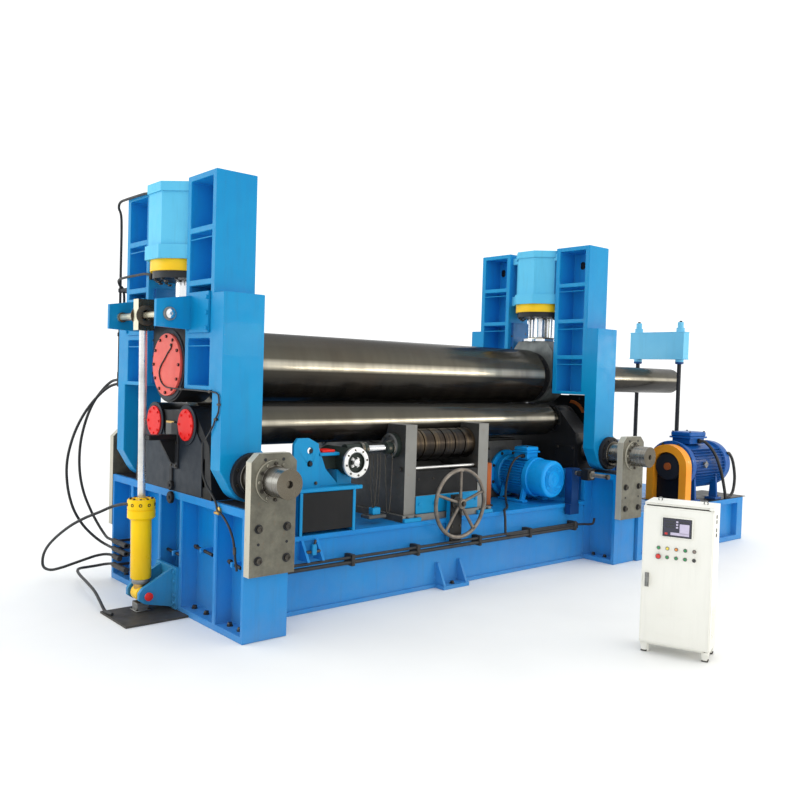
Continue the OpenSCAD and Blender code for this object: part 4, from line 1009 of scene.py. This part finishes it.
def adjuster():
    p = Piece("adjuster_flange_screws", "base", "chrome")
    cx, cz = -920, 982
    p.lathe((cx, -622, cz), FRONT, [(71, 0), (107, 0), (108, 4), (108, 19), (103, 24), (80, 26),
        (71, 20)], "rod", 72)
    for u, w in turned(90, 8, 10):
        p.socket((cx + u, -646, cz + w), FRONT, 7, 6)
    for u, w in turned(30, 4, 45):
        p.hexa((cx + u, -624, cz + w), FRONT, 11, 12, "rod")
    p.solid((cx, -628, cz), FRONT, [(26, 0), (24, 20), (12, 26)], "rod", 32)
    p.done()
    q = Piece("adjuster_coupling", "base", "chrome")
    for x, r, h in ((-792, 52, 26), (-758, 36, 40), (-550, 40, 44), (-500, 58, 24)):
        q.lathe((x, JOINT_Y, JOINT_Z), RIGHT, [(24, 0), (r - 4, 0), (r, 4), (r, h - 4), (r - 4, h),
            (24, h)], "shaft", 40)
    q.solid((-770, JOINT_Y, JOINT_Z), RIGHT, [(27, 0), (27, 330)], "chrome", 40)
    for x in (-738, -528):
        for s in SIDES:
            q.rod((x, JOINT_Y, JOINT_Z + s * 30), (0, 0, s), 12, 16, "shaft")
            q.rod((x, JOINT_Y + s * 30, JOINT_Z), (0, s, 0), 12, 16, "shaft")
    q.done()
    b = Piece("adjuster_bearing")
    b.lathe((-481, -472, ROLLER_Z), LEFT, [(0, 0), (90, 0), (92, 4), (84, 16), (62, 20), (58, 12),
        (30, 12)], "grey", 56)
    for u, w in turned(74, 8, 12):
        b.hexa((-496, -472 + u, ROLLER_Z + w), LEFT, 8, 8)
    b.done()
    t = Piece("adjuster_table_trim", "base", "blue_paint")
    t.box((-1378, -655, 540), (-946, -648, 800), "black", 2)
    for x in (-1392, -954):
        t.box((x, -660, 516), (x + 24, -640, 812), "blue", 3)
    t.box((-1396, -664, 803), (-876, -640, 829), "blue", 4)
    for z in (1071, 983):
        t.rod((-1260, -572, z), FRONT, 15, 10, "dark", n=6)
    t.box((-1176, -566, 1030), (-1010, -430, 1052), "blue", 4)
    t.box((-1150, -556, 1052), (-1040, -450, 1070), "red", 5)
    for x in (-1360, -1210):
        t.hexa((x, -572, 850), FRONT, 10, 9)
    t.prism([(-1181, 826), (-1010, 826), (-1120, 940), (-1181, 1090)], "Y", -556, -548, "blue")
    t.done()
    c = Piece("adjuster_chains")
    for x, y, low in ((-700, -560, 640), (-640, -520, 600), (-560, -560, 585)):
        pts = curve_points([(x - 34, y, 1022), (x - 30, y - 4, 860), (x - 14, y - 6, low + 40),
            (x, y - 6, low), (x + 14, y - 6, low + 40), (x + 28, y - 4, 860), (x + 32, y, 1022)], 8)
        c.tube([(a.x, a.y + (1.5 if i % 2 else -1.5), a.z) for i, a in enumerate(pts)], 4, "bolt", 8)
    c.box((-760, -600, 566), (-600, -500, 590), "grey", 4)
    c.box((-712, -580, 590), (-640, -530, 640), "blue", 4)
    c.done()


def motor_shell(p, at, axis, radius, length, look, up):
    """A finned motor body with end bells, along axis from at; up is the side of the terminal box."""
    x, y, z = basis(axis)
    p.solid(at, axis, [(radius * 0.93, 0), (radius * 0.97, 8), (radius * 0.97, 52), (radius * 0.92, 60),
        (radius * 0.86, 64), (radius * 0.86, length - 64), (radius * 0.92, length - 60),
        (radius * 0.97, length - 52), (radius * 0.97, length - 8), (radius * 0.93, length)], look, 64)
    fins = 44
    for c, s in turned(1, fins):
        d = x * c + y * s
        if d.dot(Vector(up)) > 0.80:
            continue
        t = z.cross(d).normalized() * 2.6
        lo, hi = Vector(at) + z * 66, Vector(at) + z * (length - 66)
        a0, a1 = d * radius * 0.84, d * radius * 0.985
        vs = [lo + a0 - t, lo + a0 + t, lo + a1 + t * 0.6, lo + a1 - t * 0.6, hi + a0 - t, hi + a0 + t,
            hi + a1 + t * 0.6, hi + a1 - t * 0.6]
        p.shell(vs, [(0, 1, 2, 3), (4, 5, 6, 7), (0, 1, 5, 4), (1, 2, 6, 5), (2, 3, 7, 6),
            (3, 0, 4, 7)], look)


def auxiliary_motor():
    cx, cz = 1251, 735
    p = Piece("auxiliary_motor_body", "base", "blue_paint")
    motor_shell(p, (cx, -466, cz), REAR, 178, 374, "blue_motor", UP)
    p.lathe((cx, -466, cz), FRONT, [(150, -4), (160, 0), (160, 150), (156, 162), (146, 170), (128, 173),
        (128, 166), (60, 168), (56, 172), (34, 173), (30, 168), (14, 168), (12, 173), (0, 173)],
        "blue_motor", 64)
    for r in (74, 90, 106):
        p.ring((cx, -634, cz), FRONT, r, r + 6, 5, "blue_motor", c=1, n=56)
    for u, w in turned(100, 4, 45):
        p.box((cx - 5 + u - 20, -638, cz - 5 + w - 2), (cx + 5 + u + 20, -632, cz + 5 + w + 2),
            "blue_motor", 1)
    p.solid((cx, -92, cz), REAR, [(205, 0), (211, 6), (211, 26), (205, 32)], "blue_motor", 64)
    for u, w in turned(192, 8, 22):
        p.hexa((cx + u, -92, cz + w), FRONT, 12, 12)
    for s in SIDES:
        p.box((cx + s * 140 - 34, -440, BEAM_TOP), (cx + s * 140 + 34, -150, BEAM_TOP + 22), "blue_motor", 4)
        foot = [(cx + s * 120, BEAM_TOP + 20), (cx + s * 168, BEAM_TOP + 20), (cx + s * 140, cz - 70),
            (cx + s * 96, cz - 130)]
        for y in (-420, -190):
            p.prism(foot, "Y", y, y + 22, "blue_motor")
        for y in (-410, -180):
            p.hexa((cx + s * 156, y + (28 if y < -300 else -28), BEAM_TOP + 22), UP, 11, 12)
    p.box((cx - 82, -398, cz + 150), (cx + 62, -252, cz + 214), "blue_motor", 5)
    p.box((cx - 98, -412, cz + 210), (cx + 78, -238, cz + 226), "blue_motor", 4)
    p.box((cx - 88, -402, cz + 224), (cx + 68, -248, cz + 262), "blue_motor", 8)
    for dx in (-76, 56):
        for y in (-390, -260):
            p.socket((cx + dx, y, cz + 262), UP, 7, 7)
    p.rod((cx - 82, -360, cz + 182), LEFT, 20, 26, "bolt", n=6)
    p.tube(curve_points([(cx - 104, -360, cz + 182), (cx - 150, -352, cz + 176), (cx - 211, -340, cz + 120),
        (cx - 258, -336, cz + 10), (cx - 290, -345, cz - 115), (cx - 321, -380, cz - 190)], 6), 10)
    p.solid((cx - 20, -330, cz + 172), UP, [(16, 0), (16, 6)], "bolt", 20)
    p.done(replaces=("auxiliary_motor",))
    g = Piece("auxiliary_gearbox_cover", "base", "raw_steel")
    g.box((640, -420, BEAM_TOP), (700, -330, 884), "brown", 8)
    g.box((628, -432, BEAM_TOP), (712, -318, BEAM_TOP + 16), "dark", 3)
    for z in (600, 720, 840):
        g.hexa((640, -375, z), LEFT, 9, 8)
    top = ends("auxiliary_gearbox")[1].z
    g.box((900, -72, 600), (1040, -58, 980), "grey", 5)
    for x in (915, 1025):
        for z in (620, 720, 860, 960):
            g.hexa((x, -72, z), FRONT, 10, 9)
    g.rod((1040, 180, top), UP, 40, 22, "grey")
    g.rod((1040, 180, top + 20), UP, 18, 18, "bolt", n=6)
    g.box((cx - 340, -10, top), (cx + 190, 380, top + 14), "grey", 5)
    g.lathe((690, 120, 760), RIGHT, [(70, 0), (104, 0), (108, 5), (108, 60), (104, 66), (70, 66)], "grey", 48)
    g.done()


def main_drive():
    x0, y, z, r = 2963, -740, MOTOR_Z, 240
    p = Piece("main_motor_body", "base", "blue_paint")
    motor_shell(p, (x0, y, z), RIGHT, r, 670, "blue_drive", UP)
    p.solid((x0 - 40, y, z), RIGHT, [(r - 4, 0), (r + 6, 6), (r + 6, 34), (r - 4, 42)], "blue_drive", 64)
    p.rod((x0 - 60, y, z), RIGHT, 58, 24, "shaft")
    p.lathe((x0 + 660, y, z), RIGHT, [(r - 14, 0), (r - 14, 60), (r - 24, 74), (r - 40, 80), (60, 80),
        (54, 74), (0, 74)], "blue_drive", 64)
    for q in (60, 90, 120, 150, 180):
        p.ring((x0 + 736, y, z), RIGHT, q, q + 8, 5, "blue_drive", c=1, n=56)
    for u, w in turned(r - 14, 8, 22):
        p.hexa((x0 - 40, y + u, z + w), LEFT, 12, 12)
    for xx in (x0 + 90, x0 + 500):
        for s in SIDES:
            p.box((xx - 50, y + s * 165 - 60, 435), (xx + 70, y + s * 165 + 60, 463), "blue_drive", 5)
            p.prism([(y + s * 130, 460), (y + s * 212, 460), (y + s * 196, 700), (y + s * 140, 620)], "X",
                xx - 14, xx + 14, "blue_drive")
            p.hexa((xx + 40, y + s * 190, 463), UP, 15, 16)
    p.box((x0 + 142, y - 98, z + r - 30), (x0 + 418, y + 98, z + r + 30), "blue_drive", 6)
    p.box((x0 + 118, y - 116, z + r + 26), (x0 + 442, y + 116, z + r + 44), "blue_drive", 4)
    p.box((x0 + 128, y - 108, z + r + 42), (x0 + 432, y + 108, z + r + 90), "blue_drive", 10)
    for dx in (146, 414):
        for dy in (-94, 94):
            p.socket((x0 + dx, y + dy, z + r + 90), UP, 9, 8)
    p.rod((x0 + 300, y - 98, z + r), FRONT, 24, 30, "bolt", n=6)
    p.solid((x0 + 240, y - 226, z + 20), FRONT, [(40, 0), (40, 6)], "grip", 4)
    p.done(replaces=("main_motor",))
    c = Piece("main_motor_cables", "base", "black_rubber")
    down = [(x0 + 300, y - 128, z + r), (x0 + 320, y - 170, z + r - 10), (x0 + 380, y - 232, z + 130),
        (x0 + 470, y - 258, z - 40), (x0 + 560, y - 256, 560), (x0 + 600, y - 250, 470),
        (x0 + 640, y - 230, 446)]
    back = [(x0 + 700, y - 196, z + 110), (x0 + 740, y - 204, z + 104), (x0 + 800, y - 214, z + 20),
        (x0 + 830, y - 224, 650), (x0 + 800, y - 230, 520), (x0 + 740, y - 232, 462),
        (x0 + 660, y - 230, 446)]
    for pts in (down, back):
        c.tube(curve_points(pts, 6), 15)
    c.done()
    b = Piece("motor_bed_plate")
    b.box((2790, -994, 435), (3990, -500, 441), "black", 3)
    b.done()
    g = Piece("belt_guard_shell", "base", "orange_paint")
    gx0, gx1 = 2803, 2903
    cy, rr = -770, 215

    def arch(q):
        """A half circle on two straight legs that stand on the bed."""
        bow = [polar(q, a) for a in range(180, -1, -9)]
        return [(cy - q, 436)] + [(cy + u, MOTOR_Z + w) for u, w in bow] + [(cy + q, 436)]

    outer, inner = arch(rr), arch(rr - 74)
    n = len(outer)
    vs = [(gx, a, h) for gx in (gx0, gx1) for line in (outer, inner) for a, h in line]
    fs = []
    for i in range(n - 1):
        j = i + 1
        fs += [(i, j, n + j, n + i), (i, j, 2 * n + j, 2 * n + i), (n + i, n + j, 3 * n + j, 3 * n + i),
            (2 * n + i, 2 * n + j, 3 * n + j, 3 * n + i)]
    fs += [(0, n, 3 * n, 2 * n), (n - 1, 2 * n - 1, 4 * n - 1, 3 * n - 1)]
    g.shell(vs, fs, "orange")
    g.prism(inner, "X", gx1 - 24, gx1 - 6, "black")
    g.lathe((gx0 + 26, cy, MOTOR_Z), RIGHT, [(40, 0), (126, 0), (132, 6), (132, 14), (118, 20), (118, 36),
        (132, 42), (132, 50), (40, 50)], "dark", 56)
    g.solid((gx0 + 10, cy, MOTOR_Z), RIGHT, [(34, 0), (36, 4), (36, 66)], "brown", 32)
    g.done(replaces=("belt_guard",))
    m = Piece("main_gearbox_details", "base", "blue_paint")
    ghi = ends("main_gearbox")[1]
    for x_a, x_b, zt in ((2120, 2316, ghi.z), (2330, 2726, 1000)):
        m.box((x_a, -430, zt), (x_b, 430, zt + 14), "blue_dark", 6)
        for xx in range(x_a + 30, x_b, 110):
            for s in SIDES:
                m.hexa((xx, s * 405, zt + 14), UP, 13, 14)
    for s in SIDES:
        for xx in range(2170, 2731, 140):
            m.box((xx - 12, s * 448 - 8, 520), (xx + 12, s * 448 + 8, 940), "blue_dark", 4)
        m.box((2113, s * 446 - 6, 900), (2733, s * 446 + 6, 936), "blue_dark", 4)
    m.done()


def balance():
    lo, hi = ends("balance_beam")
    x, top, low = (lo.x + hi.x) / 2, hi.z - 40, lo.z + 30
    p = Piece("balance_studs", "balance_beam", "blue_paint")
    for s in SIDES:
        y = s * POST_Y
        p.lathe((x, y, hi.z - 2), UP, [(23, 0), (45, 0), (45, 4), (32, 8), (32, 66), (27, 70), (23, 70)],
            "blue_beam", 36)
        p.lathe((x, y, lo.z + 2), DOWN, [(23, 0), (46, 0), (46, 16), (36, 24), (23, 24)], "blue_dark", 36)
    for z in (low, top - 10):
        p.box((lo.x - 2, lo.y - 5, z), (hi.x + 2, hi.y + 5, z + 10), "blue_beam", 3)
    p.done()
    q = Piece("balance_post_feet")
    for s in SIDES:
        q.rod((x, s * POST_Y, hi.z + 58), UP, 15, 24, "dark")
        q.lathe((x, s * POST_Y, 465), UP, [(23, 0), (52, 0), (40, 14), (30, 40), (23, 44)], "dark", 32)
        for u, w in turned(50, 4, 45):
            q.hexa((x + u, s * POST_Y + w, 465), UP, 8, 9)
    q.done()
    t = Piece("upper_roll_tail_ring", "upper_roll", "roll_steel")
    t.lathe((XR + 2170, 0, UPPER_Z), RIGHT, [(112, 0), (122, 3), (122, 22), (112, 25)], "roll", 56)
    t.done()


def right_end():
    x = XR - 150
    p = Piece("right_housing_details")
    for s in SIDES:
        p.ring((x - 2, s * LOWER_Y, LOWER_Z), LEFT, 96, 124, 10, "black", n=56)
        for u, w in turned(110, 8, 22):
            p.socket((x - 12, s * LOWER_Y + u, LOWER_Z + w), LEFT, 8, 6)
    p.box((x - 6, -520, 800), (x, -300, 1000), "black", 3)
    for y in (-500, -330):
        p.hexa((x - 6, y, 980), LEFT, 10, 9)
    p.done()
    q = Piece("right_bearing_seal", "right_bearing")
    q.ring((XR - 184, 0, UPPER_Z), LEFT, 168, 232, 5, "dark", n=72)
    for u, w in turned(214, 12, 10):
        q.hexa((XR - 186, u, UPPER_Z + w), LEFT, 9, 7)
    q.done()
    back = XR + 142
    r = Piece("right_housing_back")
    r.box((back, -505, 1000), (back + 8, -205, 1460), "black", 3)
    r.box((back, -215, 1000), (back + 8, 205, 1455), "black", 3)
    crescent = [(-LOWER_Y + polar(q, a)[0], LOWER_Z + polar(q, a)[1])
                for q, angles in ((174, range(160, 83, -7)), (146, range(86, 161, 7))) for a in angles]
    r.prism(crescent, "X", back - 12, back + 1, "brown")
    for y, z in ((-470, 1425), (-330, 1425), (-470, 1060)):
        r.hexa((back, y, z), LEFT, 9, 8)
    r.done()


# ---------------------------------------------------------------- control cabinet
def cabinet():
    """The separate control cabinet, drawn in its own frame: x along its front, y into its depth."""
    place = Matrix.Translation((-60, -2597, 0)) @ Matrix.Rotation(math.radians(-70), 4, "Z")
    half, front, top = 195, -28.0, 890

    def put(piece):
        piece.v = [tuple(place @ Vector(q)) for q in piece.v]
        return piece.done()

    d = Piece("cabinet_panel", "cabinet_door", "white_paint")
    d.box((-88, front - 12, 700), (88, front - 5, 822), "white", 3)
    d.box((-82, front - 14, 706), (82, front - 10, 816), "b_dark", 2)
    d.box((-76, front - 15.5, 712), (76, front - 12, 810), "screen", 1)
    d.box((14, front - 17, 728), (68, front - 14, 786), "b_lilac", 1)
    d.box((-36, front - 17, 718), (68, front - 14, 734), "b_lilac", 1)
    for z in (792, 776, 760):
        d.box((-66, front - 17, z), (-16, front - 14, z + 8), "b_dark", 1)
        d.box((-6, front - 17, z - 1), (6, front - 14, z + 9), "b_lilac", 1)
    d.box((14, front - 17, 792), (68, front - 14, 800), "b_dark", 1)
    d.box((-68, front - 17, 718), (-52, front - 14, 730), "b_red", 1)
    rows = (("b_green", "b_yellow", "b_orange", "b_green", "b_grey"),
        ("b_red", "b_green", "b_green", "b_green", "b_dark"))
    for k, row in enumerate(rows):
        for i, look in enumerate(row):
            x, z = -100 + i * 50, top - 254 - k * 51
            size = 13 if look == "b_red" else 7.5
            d.ring((x, front - 11, z), FRONT, size, size + 4, 4, "grip", c=1, n=32)
            d.lathe((x, front - 8, z), FRONT, [(0, 0), (size, 0), (size, 10), (size * 0.8, 14),
                (0, 15)], look, 32)
    d.box((-172, front - 15, 398), (-148, front - 12, 482), "grip", 3)
    d.tube(curve_points([(-160, front - 14, 404), (-158, front - 26, 414), (-154, front - 32, 440),
        (-158, front - 26, 466), (-160, front - 14, 476)], 6), 5, "grip", 12)
    d.box((-102, front - 1, 126), (102, front + 1, 236), "white", 0.5)
    for x in (-half + 4, half - 7):
        d.box((x, front - 1.5, 74), (x + 3, front + 1, 868), "white", 0.5)
    for z in (74, 865):
        d.box((-half + 4, front - 1.5, z), (half - 4, front + 1, z + 3), "white", 0.5)
    put(d)
    b = Piece("cabinet_fittings", "base", "white_paint")
    for z in (820, 790, 742, 712):
        b.box((half - 1, 86, z), (half + 4, 104, z + 20), "b_dark", 1)
    for z in range(120, 300, 20):
        b.box((half - 1, 60, z), (half + 3, 160, z + 7), "white", 1)
    b.box((-half, -3, top - 2), (half, 222, top + 3), "white", 2)
    for x in (-half, half - 44):
        for y in (4, 172):
            b.prism([(x, 52), (x + 44, 52), (x + 34, 8), (x + 10, 8)], "Y", y, y + 40, "white")
            b.box((x + 4, y - 2, 0), (x + 40, y + 42, 9), "dark", 3)
    for x in (-130, 130):
        b.ring((x, 110, top + 10), REAR, 8, 14, 8, "grip", n=24)
    put(b)


for build in (stands, left_bearing, left_stand_lines, tipping_gear, left_end, shaft_plate_details,
        beam_details, support_details, adjuster, auxiliary_motor, main_drive, balance, right_end, cabinet):
    build()


# ---------------------------------------------------------------- floor and light
def surroundings():
    k = Mat("pale_floor")
    c = k.mix(k.patches(0.6, 4, 0.35, 0.7), lin(246, 246, 244), lin(241, 241, 239))
    k.finish(c, k.patches(3, 4, 0.3, 0.7, (0.55, 0.7)))
    me = bpy.data.meshes.new("floor")
    me.from_pydata([(-40, -40, 0), (40, -40, 0), (40, 40, 0), (-40, 40, 0)], [], [(0, 1, 2, 3)])
    me.materials.append(k.m)
    floor = bpy.data.objects.new("floor", me)
    floor.location.z = -0.001
    bpy.context.collection.objects.link(floor)
    w = bpy.data.worlds.new("studio")
    w.use_nodes = True
    for sock, value in zip(w.node_tree.nodes["Background"].inputs, ((0.98, 0.99, 1.0, 1), 1.18)):
        sock.default_value = value
    bpy.context.scene.world = w
    for name, at, to, size, power, tint in (
            ("left_glare", (-8.0, 5.0, 3.0), (-1.8, 0, 1.4), (5.0, 4.0), 170, (0.90, 0.97, 1.0)),
            ("front_strip", (5.2, -6.4, 2.1), (0.6, 0, 1.5), (9.0, 0.55), 150, (1.0, 0.94, 0.82)),
            ("front_soft", (-3.0, -9.0, 4.5), (0.0, 0, 1.2), (4.0, 4.0), 20, (1.0, 0.99, 0.97)),
            ("top_soft", (0.0, 1.0, 8.0), (0, 0, 1.0), (6.0, 6.0), 30, (1.0, 1.0, 1.0))):
        d = bpy.data.lights.new(name, "AREA")
        d.shape = "RECTANGLE"
        d.size, d.size_y = size
        d.energy = power
        d.color = tint
        o = bpy.data.objects.new(name, d)
        o.location = at
        o.rotation_euler = (Vector(to) - Vector(at)).to_track_quat("-Z", "Y").to_euler()
        bpy.context.collection.objects.link(o)
    bpy.context.scene.view_settings.view_transform = "Standard"


surroundings()
